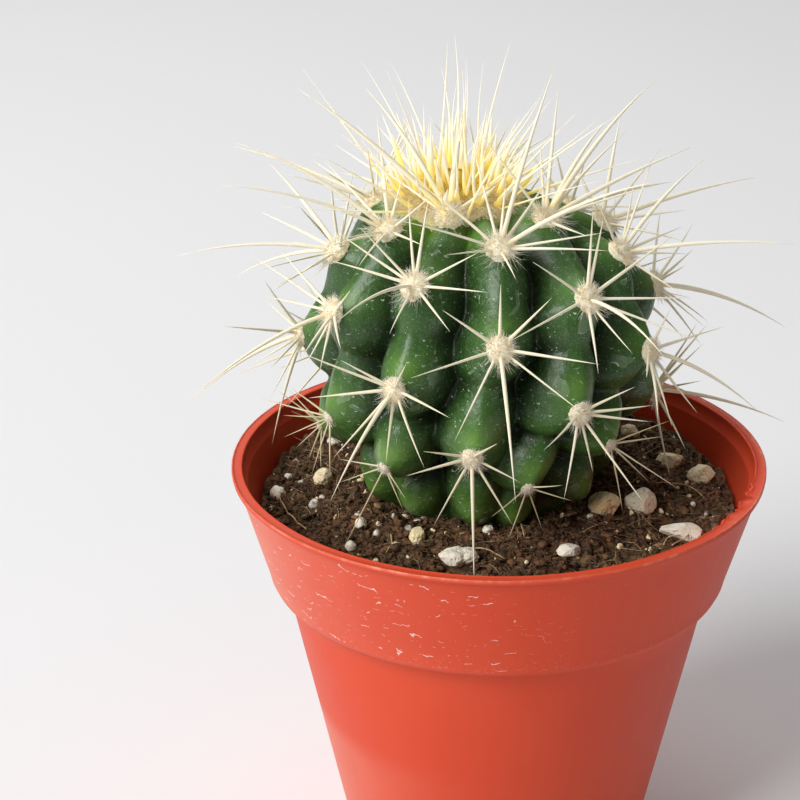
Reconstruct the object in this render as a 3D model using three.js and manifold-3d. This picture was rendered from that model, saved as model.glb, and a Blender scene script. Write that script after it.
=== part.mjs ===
// A round ribbed cactus with cream spines, growing in a 9 cm plastic nursery pot.
// Millimetres, +Z up. The origin is the centre of the pot's underside, and the side
// that is usually seen faces -Y. A bearing is an angle round the stem, in degrees:
// 0 faces -Y and 90 faces +X. A tilt is the angle down from the top of the stem.
import * as THREE from "three";
import { mergeVertices } from "three/addons/utils/BufferGeometryUtils.js";
import Module from "manifold-3d";

const wasm = await Module();
wasm.setup();

const rad = THREE.MathUtils.degToRad;
const deg = THREE.MathUtils.radToDeg;
const UP = new THREE.Vector3(0, 0, 1);

// ---- Driving dimensions ------------------------------------------------------------
const CLEARANCE = 0.35;

const POT = {
  height: 75,
  rimRadius: 45,
  lipWidth: 1.9,
  lipThickness: 0.9,
  collarDepth: 20.1,
  collarTopRadius: 44.2,
  collarFootRadius: 39.0,
  bodyTopRadius: 36.7,
  baseRadius: 25.9,
  wall: 1.2,
  floor: 1.6,
  edge: 0.4,
  sides: 56,
  drainHoles: 8,
  drainRadius: 3,
  drainRing: 16,
};

const SOIL = {
  frontDepth: 9.8,
  backDepth: 5.6,
  moundHeight: 2.2,
  moundRadius: 20,
  moundSpread: 8,
  relief: 0.45,
  rings: 7,
  sides: 48,
};

const STEM = {
  axisX: -2.3,
  axisY: 4.0,
  leanFrom: 100,
  lean: 0.0075,
  middle: 94,
  radius: 30.5,
  above: 26,
  below: 32,
  squareAbove: 2.3,
  squareBelow: 2.1,
  valley: 6.6,
  ribHalf: 8.4,
  deepest: 9,
  columns: 6,
  tiltStep: 7.5,
  fadeTilt: 138,
  buriedTilt: 150,
  lastAreole: 128,
};

// The relief of a rib. Its crest dips between two areoles and has a crease a little above
// the middle of that dip, both deeper with age; a low nose carries each areole.
const RELIEF = {
  dip: 0.5,
  agedDip: 0.9,
  crease: 2.4,
  creasePart: 0.46,
  creaseWidth: 0.13,
  nose: 0.9,
  noseRadius: 3.4,
  roundness: 0.9,
  agesFrom: 45,
  agedAt: 110,
  fullRadius: 27,
  leastSize: 0.1,
};

// A rib that nothing bends: its areoles are a pitch apart, the last one closer, and it
// turns a little towards the left on its way down.
const PLAIN_RIB = { pitch: 34.5, closer: 29.5, turn: -0.13 };

function plainRib(bearing, tilt) {
  const { pitch, closer, turn } = PLAIN_RIB;
  return [0, pitch, 2 * pitch, 2 * pitch + closer].map((down) => [bearing + turn * down, tilt + down]);
}

// Each rib is the row of its areoles from the crown down: the bearing and tilt of each.
// The ribs of the seen side bend from areole to areole.
const RIBS = [
  [[-70, 15], [-75, 47.5], [-87.5, 86.5], [-85, 115]],
  [[-53.5, 30], [-58.5, 68], [-59.5, 102]],
  [[-16.5, 19], [-26, 50], [-29.5, 86.5], [-36.5, 112.5]],
  [[11.5, 33.5], [2.5, 71], [-6, 104]],
  [[55.5, 25], [36.5, 58], [27, 93], [12.5, 116.5]],
  [[80, 17], [71.5, 49.5], [59, 83.5], [41.5, 106.5]],
  [[94.5, 41.5], [98.5, 74.5], [90, 106]],
  plainRib(139, 14),
  plainRib(172.5, 31),
  plainRib(210.5, 15),
  plainRib(243.5, 32),
];

// The buried root: radius and height of each ring, down to its blunt tip.
const ROOT = [
  [11, 64.5],
  [8, 58],
  [5, 44],
];
const ROOT_TIP = 42;

const AREOLE = { radius: 2.2, height: 1.3, sunk: 0.35, sides: 6, rings: 3 };

const SPINE = {
  radialRadius: 0.46,
  centralRadius: 0.68,
  centralFrom: 19.5,
  centralSag: 0.05,
  root: 1.0,
  sides: 3,
};

// The usual fan of radial spines, as clock angles seen from outside (0 up the rib, 90 to
// the right), and what the seeded draw may add to them.
const FAN = {
  clocks: [0, 45, 96, 130, 205, 254, 303, 330],
  clockSpread: 16,
  length: 12,
  lengthSpread: 5,
  lift: 18,
  liftSpread: 9,
  youngTilt: 40,
  youngLift: 16,
  centralClock: 164,
  centralClockSpread: 26,
  centralLength: 23,
  centralLengthSpread: 5,
  centralLift: 44,
  lowTilt: 108,
  lowShare: 0.6,
};

// Areoles on the seen side, named rib.areole, with their own spines: each is a clock
// angle, the lift off the skin in degrees, and the length.
const OWN_SPINES = {
  "0.1": [
    [200, 40, 26], [250, 33, 17], [275, 33, 22], [65, 33, 13], [125, 27, 12], [240, 22, 10],
    [170, 22, 12],
  ],
  "0.2": [
    [65, 48, 17], [205, 48, 25], [275, 27, 14], [225, 33, 15], [195, 12, 24], [100, 25, 12],
    [140, 25, 12], [20, 30, 13],
  ],
  "1.0": [
    [215, 40, 27], [235, 48, 27], [280, 22, 18], [315, 30, 21], [350, 40, 8], [100, 12, 13],
    [140, 18, 16], [70, 33, 13], [155, 33, 14], [185, 22, 11],
  ],
  "1.1": [
    [295, 22, 14], [280, 22, 19], [260, 22, 13], [195, 40, 26], [120, 40, 15], [135, 22, 12],
    [105, 22, 13], [65, 27, 15], [165, 22, 10],
  ],
  "1.2": [
    [305, 22, 8], [278, 27, 14], [255, 12, 13], [240, 18, 13], [230, 10, 14], [195, 22, 11],
    [160, 22, 9],
  ],
  "2.0": [
    [305, 40, 24], [355, 27, 20], [275, 40, 30], [290, 22, 15], [335, 22, 17], [50, 22, 11],
  ],
  "2.1": [
    [345, 22, 13], [0, 22, 13], [65, 22, 12], [95, 18, 14], [130, 22, 14], [170, 33, 13],
    [190, 48, 21], [270, 22, 13], [290, 22, 14], [300, 48, 12],
  ],
  "2.2": [
    [40, 40, 13], [300, 22, 9], [298, 32, 16], [260, 22, 13], [215, 22, 14], [190, 48, 20],
    [175, 22, 11], [140, 22, 13], [90, 27, 14],
  ],
  "2.3": [[270, 8, 8], [243, 12, 10], [203, 40, 15], [125, 22, 6], [145, 22, 7]],
  "3.0": [
    [355, 22, 19], [15, 22, 11], [30, 48, 29], [45, 22, 15], [75, 22, 11], [105, 22, 16],
    [120, 22, 17], [185, 27, 13], [240, 27, 13], [275, 22, 17], [310, 22, 16], [105, 40, 27],
  ],
  "3.1": [
    [0, 22, 10], [45, 22, 11], [100, 22, 15], [130, 22, 16], [180, 40, 27], [210, 22, 16],
    [255, 22, 15], [305, 22, 11],
  ],
  "3.2": [
    [295, 22, 8], [265, 22, 10], [210, 22, 12], [175, 48, 19], [145, 22, 12], [105, 22, 8],
    [25, 40, 13],
  ],
  "4.0": [
    [90, 40, 30], [115, 28, 27], [90, 30, 22], [50, 40, 23], [80, 33, 22], [45, 27, 15],
    [133, 30, 18], [215, 22, 13], [340, 35, 18],
  ],
  "4.1": [
    [15, 22, 13], [25, 22, 12], [73, 15, 18], [110, 22, 16], [135, 22, 18], [195, 48, 21],
    [175, 22, 11], [210, 18, 14], [260, 8, 19], [300, 22, 14],
  ],
  "4.2": [
    [60, 22, 9], [85, 22, 11], [100, 22, 11], [155, 40, 17], [175, 22, 9], [205, 22, 13],
    [265, 33, 12],
  ],
  "4.3": [[50, 30, 6], [100, 22, 7], [160, 22, 8], [200, 22, 9], [245, 22, 7]],
  "5.1": [
    [160, 48, 27], [130, 22, 13], [110, 27, 14], [85, 45, 22], [50, 45, 16], [60, 25, 14],
    [200, 22, 12], [280, 22, 13], [330, 25, 12],
  ],
  "5.2": [
    [136, 33, 23], [155, 22, 14], [195, 22, 12], [90, 27, 15], [25, 22, 7], [225, 22, 12],
    [270, 22, 12],
  ],
  "5.3": [[65, 22, 10], [85, 22, 9], [124, 48, 13], [135, 22, 11], [170, 22, 12]],
  "6.0": [
    [155, 42, 29], [70, 48, 20], [110, 48, 19], [170, 40, 14], [30, 25, 13], [200, 25, 13],
    [250, 22, 12],
  ],
  "6.1": [
    [165, 50, 28], [155, 33, 16], [93, 45, 14], [70, 45, 16], [30, 25, 13], [190, 22, 13],
    [240, 22, 12], [300, 22, 11],
  ],
};

// The woolly growing point, with its crowd of young upright spines. Areoles above keepTilt
// lie in it, and the newest of those that show has its own spines.
const CROWN = {
  middle: 118,
  radius: 10.8,
  height: 4.6,
  spines: 84,
  aside: -2.2,
  spineLength: 9,
  spineLengthSpread: 5,
  outerLonger: 9,
  spineRadius: 0.42,
  lean: 62,
  leanSpread: 16,
  keepTilt: 22,
  newest: "2.0",
  newestLift: 1.0,
  minGap: 0.25,
};

// Pebbles mixed into the soil: middle in plan, then length, width, height and turn.
const STONES = [
  { x: -7.3, y: -23.6, size: [6.2, 4.2, 3.0], turn: 5 },
  { x: 17.2, y: -8.8, size: [5.4, 4.6, 4.4], turn: 20 },
  { x: 23.8, y: -7.4, size: [5.0, 5.2, 5.4], turn: 70 },
  { x: 29.5, y: -15.0, size: [6.6, 4.4, 3.2], turn: -12 },
  { x: 31.0, y: 9.9, size: [5.2, 4.4, 3.8], turn: 30 },
  { x: 36.0, y: 5.1, size: [4.6, 4.4, 3.6], turn: -25 },
  { x: -29.8, y: 3.1, size: [3.4, 3.2, 3.2], turn: 0 },
  { x: -37.4, y: 0.3, size: [2.4, 3.4, 2.8], turn: 15 },
  { x: -28.1, y: 18.1, size: [3.2, 2.8, 2.8], turn: 40 },
  { x: 25.1, y: 20.3, size: [3.2, 3.0, 2.8], turn: -40 },
  { x: -13.8, y: -17.6, size: [3.6, 3.0, 2.8], turn: 60 },
  { x: 10.4, y: -21.5, size: [3.8, 2.4, 2.2], turn: 8 },
  { x: -17.0, y: 31.0, size: [4.4, 3.6, 3.4], turn: 25 },
  { x: 9.0, y: 35.0, size: [3.6, 3.0, 3.0], turn: -15 },
];
// How far a pebble's middle stands over the soil, as a part of its height, and how
// lumpy it is.
const STONE_SHOWS = 0.22;
const STONE_LUMPS = 0.09;

// ---- Materials ---------------------------------------------------------------------
function material(color, roughness) {
  return new THREE.MeshStandardMaterial({ color, roughness, metalness: 0 });
}

const PLASTIC = material(0xd2503a, 0.4);
const PEAT = material(0x3a2418, 0.95);
const SKIN = material(0x2f6b35, 0.4);
const WOOL = material(0xf1e7c4, 0.9);
const PUMICE = material(0xe8e0d0, 0.8);

// ---- Solids ------------------------------------------------------------------------
/** A closed three.js geometry as a solid that can be joined and cut. */
function solidOf(geometry) {
  const bare = geometry.clone();
  bare.deleteAttribute("normal");
  bare.deleteAttribute("uv");
  const merged = mergeVertices(bare, 1e-4);
  return new wasm.Manifold(new wasm.Mesh({
    numProp: 3,
    vertProperties: new Float32Array(merged.attributes.position.array),
    triVerts: new Uint32Array(merged.index.array),
  }));
}

/** The body of a solid that holds nearly all of it, without loose scraps. */
function mainBody(solid) {
  const bodies = solid.decompose();
  return bodies.reduce((best, body) => (body.volume() > best.volume() ? body : best));
}

/** A solid back as a three.js geometry. */
function geometryOf(solid) {
  const mesh = solid.getMesh();
  const geometry = new THREE.BufferGeometry();
  geometry.setAttribute("position", new THREE.BufferAttribute(new Float32Array(mesh.vertProperties), 3));
  geometry.setIndex(new THREE.BufferAttribute(new Uint32Array(mesh.triVerts), 1));
  geometry.computeVertexNormals();
  return geometry;
}

/**
 * A closed skin through rings of points, each ring running counter-clockwise seen from
 * above and the rings in order from the top down, with a point closing either end.
 */
function skinThrough(top, rings, bottom) {
  const around = rings[0].length;
  const points = [top, ...rings.flat(), bottom];
  const faces = [];
  const at = (ring, i) => 1 + ring * around + (i % around);
  const last = points.length - 1;
  for (let i = 0; i < around; i += 1) {
    faces.push(0, at(0, i), at(0, i + 1));
    faces.push(last, at(rings.length - 1, i + 1), at(rings.length - 1, i));
    for (let ring = 0; ring + 1 < rings.length; ring += 1) {
      faces.push(at(ring, i), at(ring + 1, i), at(ring + 1, i + 1));
      faces.push(at(ring, i), at(ring + 1, i + 1), at(ring, i + 1));
    }
  }
  const geometry = new THREE.BufferGeometry().setFromPoints(points);
  geometry.setIndex(faces);
  return geometry;
}

/** A repeatable draw between 0 and 1 for a whole number. */
function draw(n) {
  const x = Math.sin(n * 12.9898 + 4.1414) * 43758.5453;
  return x - Math.floor(x);
}

// ---- Pot ---------------------------------------------------------------------------
/** Radius of the pot's inner wall at a height, inside its collar. */
function innerRadius(z) {
  const top = POT.rimRadius - POT.lipWidth;
  const foot = POT.collarFootRadius - POT.wall;
  return top - ((top - foot) * (POT.height - z)) / POT.collarDepth;
}

function makePot() {
  const { height, rimRadius, lipThickness, edge, wall, floor } = POT;
  const step = height - POT.collarDepth;
  const mouth = rimRadius - POT.lipWidth;
  const outline = [
    [0, 0],
    [POT.baseRadius - 1, 0],
    [POT.baseRadius, 1],
    [POT.bodyTopRadius, step],
    [POT.collarFootRadius - edge, step],
    [POT.collarFootRadius, step + edge],
    [POT.collarTopRadius, height - lipThickness],
    [rimRadius - edge / 2, height - lipThickness],
    [rimRadius, height - lipThickness + edge / 2],
    [rimRadius, height - edge],
    [rimRadius - edge, height],
    [mouth + edge, height],
    [mouth, height - edge],
    [innerRadius(step + 1), step + 1],
    [POT.bodyTopRadius - wall, step - 1],
    [POT.baseRadius - wall, floor],
    [0, floor],
  ];
  const profile = outline.map(([r, z]) => new THREE.Vector2(r, z));
  const shell = new THREE.LatheGeometry(profile, POT.sides).rotateX(Math.PI / 2);
  const holes = [];
  for (let i = 0; i < POT.drainHoles; i += 1) {
    const angle = (i * 2 * Math.PI) / POT.drainHoles;
    const hole = new THREE.CylinderGeometry(POT.drainRadius, POT.drainRadius, 4 * floor, 12);
    hole.rotateX(Math.PI / 2);
    hole.translate(POT.drainRing * Math.cos(angle), POT.drainRing * Math.sin(angle), 0);
    holes.push(solidOf(hole));
  }
  return solidOf(shell).subtract(wasm.Manifold.union(holes));
}

// ---- Stem --------------------------------------------------------------------------
/** Radius and height of the stem's round envelope at a tilt in radians. */
function envelope(tilt) {
  const above = Math.cos(tilt) > 0;
  const square = 2 / (above ? STEM.squareAbove : STEM.squareBelow);
  const rise = above ? STEM.above : -STEM.below;
  return {
    r: STEM.radius * Math.sin(tilt) ** square,
    z: STEM.middle + rise * Math.abs(Math.cos(tilt)) ** square,
  };
}

/** The stem's axis leans a little to the left towards its crown. */
function axisX(z) {
  return STEM.axisX - STEM.lean * Math.max(0, z - STEM.leanFrom) ** 2;
}

/** Point on the envelope and the direction straight out of it. */
function envelopePoint(bearing, tilt) {
  const { r, z } = envelope(tilt);
  const nudge = 1e-4;
  const before = envelope(tilt - nudge);
  const after = envelope(tilt + nudge);
  const slope = Math.atan2(after.z - before.z, after.r - before.r);
  const out = new THREE.Vector3(
    -Math.sin(slope) * Math.sin(bearing),
    Math.sin(slope) * Math.cos(bearing),
    Math.cos(slope),
  );
  const at = new THREE.Vector3(axisX(z) + r * Math.sin(bearing), STEM.axisY - r * Math.cos(bearing), z);
  return { at, out, r };
}

/** How many areoles, and what part of the next step, a tilt in degrees lies down a rib. */
function areoleCount(rib, tilt) {
  const next = rib.findIndex(([, areole]) => areole > tilt);
  if (next === 0) return (tilt - rib[0][1]) / PLAIN_RIB.pitch;
  const low = next < 0 ? rib.length - 1 : next;
  const [, above] = rib[low - 1];
  return low - 1 + (tilt - above) / (rib[low][1] - above);
}

/** Bearing of a rib's crest at a tilt, both in radians. */
function ribBearing(rib, tilt) {
  const count = THREE.MathUtils.clamp(areoleCount(rib, deg(tilt)), 0, rib.length - 1);
  const above = Math.min(Math.floor(count), rib.length - 2);
  return rad(THREE.MathUtils.lerp(rib[above][0], rib[above + 1][0], count - above));
}

function smoothMin(a, b, blend) {
  const h = THREE.MathUtils.clamp(0.5 + (0.5 * (b - a)) / blend, 0, 1);
  return b * (1 - h) + a * h - blend * h * (1 - h);
}

/** How far the skin lies under the envelope: ribs, the creases along them, the valleys. */
function skinDepth(bearing, tilt) {
  const { r } = envelope(tilt);
  const { clamp } = THREE.MathUtils;
  const age = clamp((deg(tilt) - RELIEF.agesFrom) / (RELIEF.agedAt - RELIEF.agesFrom), 0, 1);
  const size = clamp(r / RELIEF.fullRadius, RELIEF.leastSize, 1);
  let depth = STEM.deepest;
  for (const rib of RIBS) {
    const turn = bearing - ribBearing(rib, tilt) + Math.PI;
    const side = (turn - 2 * Math.PI * Math.floor(turn / (2 * Math.PI)) - Math.PI) * r;
    const count = areoleCount(rib, deg(tilt));
    const part = count - Math.floor(count);
    const along = rad((part < 0.5 ? part : part - 1) * PLAIN_RIB.pitch) * STEM.radius * Math.max(size, 0.5);
    const dip = Math.sin(Math.PI * part) ** 2;
    const crease = age * Math.exp(-(((part - RELIEF.creasePart) / RELIEF.creaseWidth) ** 2));
    const sunk = (RELIEF.dip + RELIEF.agedDip * age) * dip + RELIEF.crease * Math.sqrt(age) * crease;
    const half = STEM.ribHalf * size * (1 - 0.1 * dip - 0.16 * crease);
    const across = Math.abs(side) / half;
    const flank = STEM.valley * (0.3 * across ** 1.15 + 0.7 * across ** 2.3);
    const nose = RELIEF.nose * (1 - Math.exp(-(side ** 2 + along ** 2) / RELIEF.noseRadius ** 2));
    depth = smoothMin(depth, size * (sunk + flank + nose), RELIEF.roundness * size);
  }
  return depth * (1 - THREE.MathUtils.smoothstep(deg(tilt), STEM.fadeTilt, STEM.buriedTilt));
}

/** The ribbed body with its buried root, grown outwards by a clearance. */
function makeBody(clearance) {
  const rings = [];
  for (let tiltDeg = STEM.tiltStep; tiltDeg <= STEM.buriedTilt; tiltDeg += STEM.tiltStep) {
    const tilt = rad(tiltDeg);
    const ring = [];
    RIBS.forEach((rib, i) => {
      const here = ribBearing(rib, tilt);
      const next = RIBS[(i + 1) % RIBS.length];
      const wrap = i + 1 === RIBS.length ? 2 * Math.PI : 0;
      const step = (ribBearing(next, tilt) + wrap - here) / STEM.columns;
      for (let column = 0; column < STEM.columns; column += 1) {
        const bearing = here + column * step;
        const { at, out } = envelopePoint(bearing, tilt);
        ring.push(at.addScaledVector(out, clearance - skinDepth(bearing, tilt)));
      }
    });
    rings.push(ring);
  }
  const around = rings[0].length;
  const first = ribBearing(RIBS[0], rad(STEM.buriedTilt));
  for (const [radius, z] of ROOT) {
    const ring = [];
    for (let i = 0; i < around; i += 1) {
      const bearing = first + (i * 2 * Math.PI) / around;
      const reach = radius + clearance;
      const x = STEM.axisX + reach * Math.sin(bearing);
      const y = STEM.axisY - reach * Math.cos(bearing);
      ring.push(new THREE.Vector3(x, y, z));
    }
    rings.push(ring);
  }
  const crown = STEM.middle + STEM.above;
  const top = new THREE.Vector3(axisX(crown), STEM.axisY, crown - 1.2 + clearance);
  const tip = new THREE.Vector3(STEM.axisX, STEM.axisY, ROOT_TIP - clearance);
  return solidOf(skinThrough(top, rings, tip));
}

/** Every areole: its tilt in degrees, where it sits and the directions out, up and right. */
function listAreoles() {
  return RIBS.flatMap((rib, i) => rib.map(([bearingDeg, tilt], k) => {
    const bearing = rad(bearingDeg);
    const { at, out } = envelopePoint(bearing, rad(tilt));
    const right = new THREE.Vector3(Math.cos(bearing), Math.sin(bearing), 0);
    const up = new THREE.Vector3().crossVectors(out, right);
    return { name: `${i}.${k}`, seed: 100 * i + 10 * k, tilt, at, out, right, up };
  }));
}

/** The direction of a spine with a clock angle and a lift on its areole. */
function spineWay(areole, clock, lift) {
  const flat = areole.up.clone().multiplyScalar(Math.cos(rad(clock)));
  flat.addScaledVector(areole.right, Math.sin(rad(clock)));
  flat.multiplyScalar(Math.cos(rad(lift)));
  return flat.addScaledVector(areole.out, Math.sin(rad(lift))).normalize();
}

/** The spines of an areole that has none of its own, drawn from the usual fan: short by the soil. */
function fanSpines(areole) {
  const { seed } = areole;
  const young = areole.tilt < FAN.youngTilt ? FAN.youngLift : 0;
  const low = areole.tilt > FAN.lowTilt;
  const spines = FAN.clocks.map((clock, i) => [
    clock + FAN.clockSpread * (draw(seed + i) - 0.5),
    FAN.lift + young + FAN.liftSpread * draw(seed + i + 0.25),
    (FAN.length + FAN.lengthSpread * draw(seed + i + 0.5)) * (low ? FAN.lowShare : 1),
  ]);
  if (low) return spines;
  spines.push([
    FAN.centralClock + FAN.centralClockSpread * draw(seed + 8),
    FAN.centralLift,
    FAN.centralLength + FAN.centralLengthSpread * draw(seed + 8.5),
  ]);
  return spines;
}

// ---- Soil --------------------------------------------------------------------------
/** Height of the soil: lower at the front, heaped against the stem, a little uneven. */
function soilTop(x, y) {
  const back = (y + 40) / 80;
  const depth = SOIL.frontDepth + (SOIL.backDepth - SOIL.frontDepth) * back;
  const apart = (Math.hypot(x - STEM.axisX, y - STEM.axisY) - SOIL.moundRadius) / SOIL.moundSpread;
  const heap = SOIL.moundHeight * Math.exp(-(apart ** 2));
  const waves = Math.sin(0.55 * x + 1) * Math.cos(0.6 * y) + 0.5 * Math.sin(1.3 * x + 0.9 * y);
  return POT.height - depth + heap + SOIL.relief * waves;
}

function ringOf(radius, heightAt) {
  const ring = [];
  for (let i = 0; i < SOIL.sides; i += 1) {
    const angle = (i * 2 * Math.PI) / SOIL.sides;
    const x = radius * Math.cos(angle);
    const y = radius * Math.sin(angle);
    ring.push(new THREE.Vector3(x, y, heightAt(x, y)));
  }
  return ring;
}

function makeSoil(stemRoom, stoneRooms) {
  const step = POT.height - POT.collarDepth;
  const edge = innerRadius(POT.height - SOIL.frontDepth) - CLEARANCE;
  const rings = [];
  for (let i = 1; i <= SOIL.rings; i += 1) rings.push(ringOf((edge * i) / SOIL.rings, soilTop));
  rings.push(ringOf(innerRadius(step + 1.5) - CLEARANCE, () => step + 1.5));
  rings.push(ringOf(POT.bodyTopRadius - POT.wall - CLEARANCE, () => step - 1));
  rings.push(ringOf(POT.baseRadius - POT.wall - CLEARANCE, () => POT.floor + CLEARANCE));
  const top = new THREE.Vector3(0, 0, soilTop(0, 0));
  const bottom = new THREE.Vector3(0, 0, POT.floor + CLEARANCE);
  const fill = solidOf(skinThrough(top, rings, bottom));
  return mainBody(fill.subtract(wasm.Manifold.union([stemRoom, ...stoneRooms])));
}

// ---- Stones ------------------------------------------------------------------------
/** One pebble, or the room it takes in the soil, a little wider all round. */
function makeStone(stone, index, clearance) {
  const [length, width, height] = stone.size;
  const geometry = new THREE.IcosahedronGeometry(1, 1);
  const position = geometry.attributes.position;
  const point = new THREE.Vector3();
  for (let i = 0; i < position.count; i += 1) {
    point.fromBufferAttribute(position, i);
    const dents = Math.sin(2.1 * point.x + index) * Math.cos(2.7 * point.y + 2 * index);
    const bulges = Math.sin(2.3 * point.z + 3 * index);
    point.multiplyScalar(1 + STONE_LUMPS * (dents + bulges));
    position.setXYZ(i, point.x, point.y, point.z);
  }
  geometry.scale(length / 2 + clearance, width / 2 + clearance, height / 2 + clearance);
  geometry.rotateZ(rad(stone.turn));
  geometry.translate(stone.x, stone.y, soilTop(stone.x, stone.y) + STONE_SHOWS * height);
  return solidOf(geometry);
}

// ---- Spines ------------------------------------------------------------------------
// The parts of a spine's length at which its way is tested.
const CHECKED_PARTS = [0.2, 0.3, 0.4, 0.5, 0.6, 0.7, 0.8, 0.9, 1];

/** Whether a point comes too near the soil, a pebble, the pot or the crown's wool. */
function isBlocked(point, nearCrown) {
  const { x, y, z } = point;
  if (z < soilTop(x, y) + 1) return true;
  if (z < POT.height + 1 && Math.hypot(x, y) > innerRadius(Math.min(z, POT.height)) - 1) return true;
  for (const stone of STONES) {
    const [length, width, height] = stone.size;
    const reach = Math.max(length, width) / 2 + 1;
    const middle = soilTop(stone.x, stone.y) + STONE_SHOWS * height;
    if (Math.hypot(x - stone.x, y - stone.y) < reach && z < middle + height / 2 + 1) return true;
  }
  if (!nearCrown) return false;
  const wool = CROWN.radius + 1;
  const flat = Math.hypot(x - axisX(CROWN.middle) - CROWN.aside, y - STEM.axisY) / wool;
  return flat ** 2 + ((z - CROWN.middle) / (CROWN.height + 1)) ** 2 < 1;
}

/** The direction nearest to the one asked for in which a spine of this length is clear. */
function clearWay(from, way, length) {
  const direction = way.clone();
  for (let tries = 0; tries < 24; tries += 1) {
    const clear = CHECKED_PARTS.every((part) =>
      !isBlocked(from.clone().addScaledVector(direction, part * length), true));
    if (clear) return direction;
    direction.z += 0.07;
    direction.normalize();
  }
  return null;
}

/** One three-sided spine from its sunk root to its point, bent once if it is a long one. */
function makeSpine(from, direction, length, radius, sag) {
  const turn = new THREE.Quaternion().setFromUnitVectors(UP, direction);
  const start = from.clone().addScaledVector(direction, -SPINE.root);
  const ringAt = (part, size) => {
    const middle = from.clone().addScaledVector(direction, part * length);
    middle.z += sag * length * 4 * part * (1 - part);
    const ring = [];
    for (let i = 0; i < SPINE.sides; i += 1) {
      const angle = (i * 2 * Math.PI) / SPINE.sides;
      const offset = new THREE.Vector3(size * Math.cos(angle), size * Math.sin(angle), 0);
      ring.push(offset.applyQuaternion(turn).add(middle));
    }
    return ring;
  };
  const rings = [ringAt(-SPINE.root / length, radius)];
  if (sag > 0) rings.unshift(ringAt(0.5, 0.7 * radius));
  const tip = from.clone().addScaledVector(direction, length);
  return solidOf(skinThrough(tip, rings, start));
}

function makeAreoleSolids(areole) {
  const pad = new THREE.SphereGeometry(1, AREOLE.sides, AREOLE.rings).rotateX(Math.PI / 2);
  pad.scale(AREOLE.radius, AREOLE.radius, AREOLE.height);
  const middle = areole.at.clone().addScaledVector(areole.out, -AREOLE.sunk);
  const turn = new THREE.Quaternion().setFromUnitVectors(UP, areole.out);
  pad.applyQuaternion(turn).translate(middle.x, middle.y, middle.z);
  const solids = [solidOf(pad)];
  for (const [clock, lift, length] of OWN_SPINES[areole.name] ?? fanSpines(areole)) {
    const direction = clearWay(areole.at, spineWay(areole, clock, lift), length);
    if (!direction) continue;
    const central = length >= SPINE.centralFrom;
    const radius = central ? SPINE.centralRadius : SPINE.radialRadius;
    solids.push(makeSpine(areole.at, direction, length, radius, central ? SPINE.centralSag : 0));
  }
  return solids;
}

function makeStem() {
  const solids = [makeBody(0)];
  const below = listAreoles().filter(({ tilt }) => tilt > CROWN.keepTilt && tilt < STEM.lastAreole);
  for (const areole of below) solids.push(...makeAreoleSolids(areole));
  return mainBody(wasm.Manifold.union(solids));
}

// ---- Crown -------------------------------------------------------------------------
/** The wool over the growing point, with young spines set at golden-angle steps. */
function makeCrown(stem) {
  const dome = new THREE.SphereGeometry(1, 18, 8).rotateX(Math.PI / 2);
  dome.scale(CROWN.radius, CROWN.radius, CROWN.height);
  const middle = new THREE.Vector3(axisX(CROWN.middle) + CROWN.aside, STEM.axisY, CROWN.middle);
  dome.translate(middle.x, middle.y, middle.z);
  const wool = solidOf(dome).subtract(makeBody(CLEARANCE)).subtract(stem);
  const solids = [mainBody(wool)];
  const newest = listAreoles().find(({ name }) => name === CROWN.newest);
  for (const [clock, lift, length] of OWN_SPINES[CROWN.newest]) {
    const radius = length >= SPINE.centralFrom ? SPINE.centralRadius : SPINE.radialRadius;
    const root = newest.at.clone().addScaledVector(newest.out, CROWN.newestLift);
    solids.push(makeSpine(root, spineWay(newest, clock, lift), length, radius, 0));
  }
  const golden = Math.PI * (3 - Math.sqrt(5));
  for (let i = 0; i < CROWN.spines; i += 1) {
    const out = Math.sqrt((i + 0.5) / CROWN.spines);
    const angle = i * golden;
    const reach = 0.9 * CROWN.radius * out;
    const root = new THREE.Vector3(reach * Math.cos(angle), reach * Math.sin(angle), 0).add(middle);
    root.z += CROWN.height * Math.sqrt(1 - (reach / CROWN.radius) ** 2) - 0.3;
    const length = CROWN.spineLength + CROWN.spineLengthSpread * draw(i) + CROWN.outerLonger * out ** 2;
    for (let tries = 0; tries < 5; tries += 1) {
      const spread = CROWN.lean * out ** 1.3 + CROWN.leanSpread * (draw(i + 0.5) - 0.5);
      const lean = rad(spread * (1 - 0.18 * tries));
      const aside = angle + 0.5 * (draw(i + 0.75) - 0.5) + 0.12 * tries;
      const way = new THREE.Vector3(
        Math.sin(lean) * Math.cos(aside),
        Math.sin(lean) * Math.sin(aside),
        Math.cos(lean),
      );
      const spine = makeSpine(root, way, length, CROWN.spineRadius, 0);
      if (spine.minGap(stem, 1) < CROWN.minGap) continue;
      solids.push(spine);
      break;
    }
  }
  return mainBody(wasm.Manifold.union(solids));
}

// ---- The potted cactus -------------------------------------------------------------
function piece(name, solid, finish) {
  const mesh = new THREE.Mesh(geometryOf(solid), finish);
  mesh.name = name;
  return mesh;
}

const cactus = new THREE.Group();
const stem = makeStem();
const stoneRooms = STONES.map((stone, i) => makeStone(stone, i, CLEARANCE));
cactus.add(piece("pot", makePot(), PLASTIC));
cactus.add(piece("soil", makeSoil(makeBody(2 * CLEARANCE), stoneRooms), PEAT));
cactus.add(piece("stem", stem, SKIN));
cactus.add(piece("crown", makeCrown(stem), WOOL));
STONES.forEach((stone, i) => {
  const name = `stone_${String(i + 1).padStart(2, "0")}`;
  cactus.add(piece(name, makeStone(stone, i, 0), PUMICE));
});

export default cactus;
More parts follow.
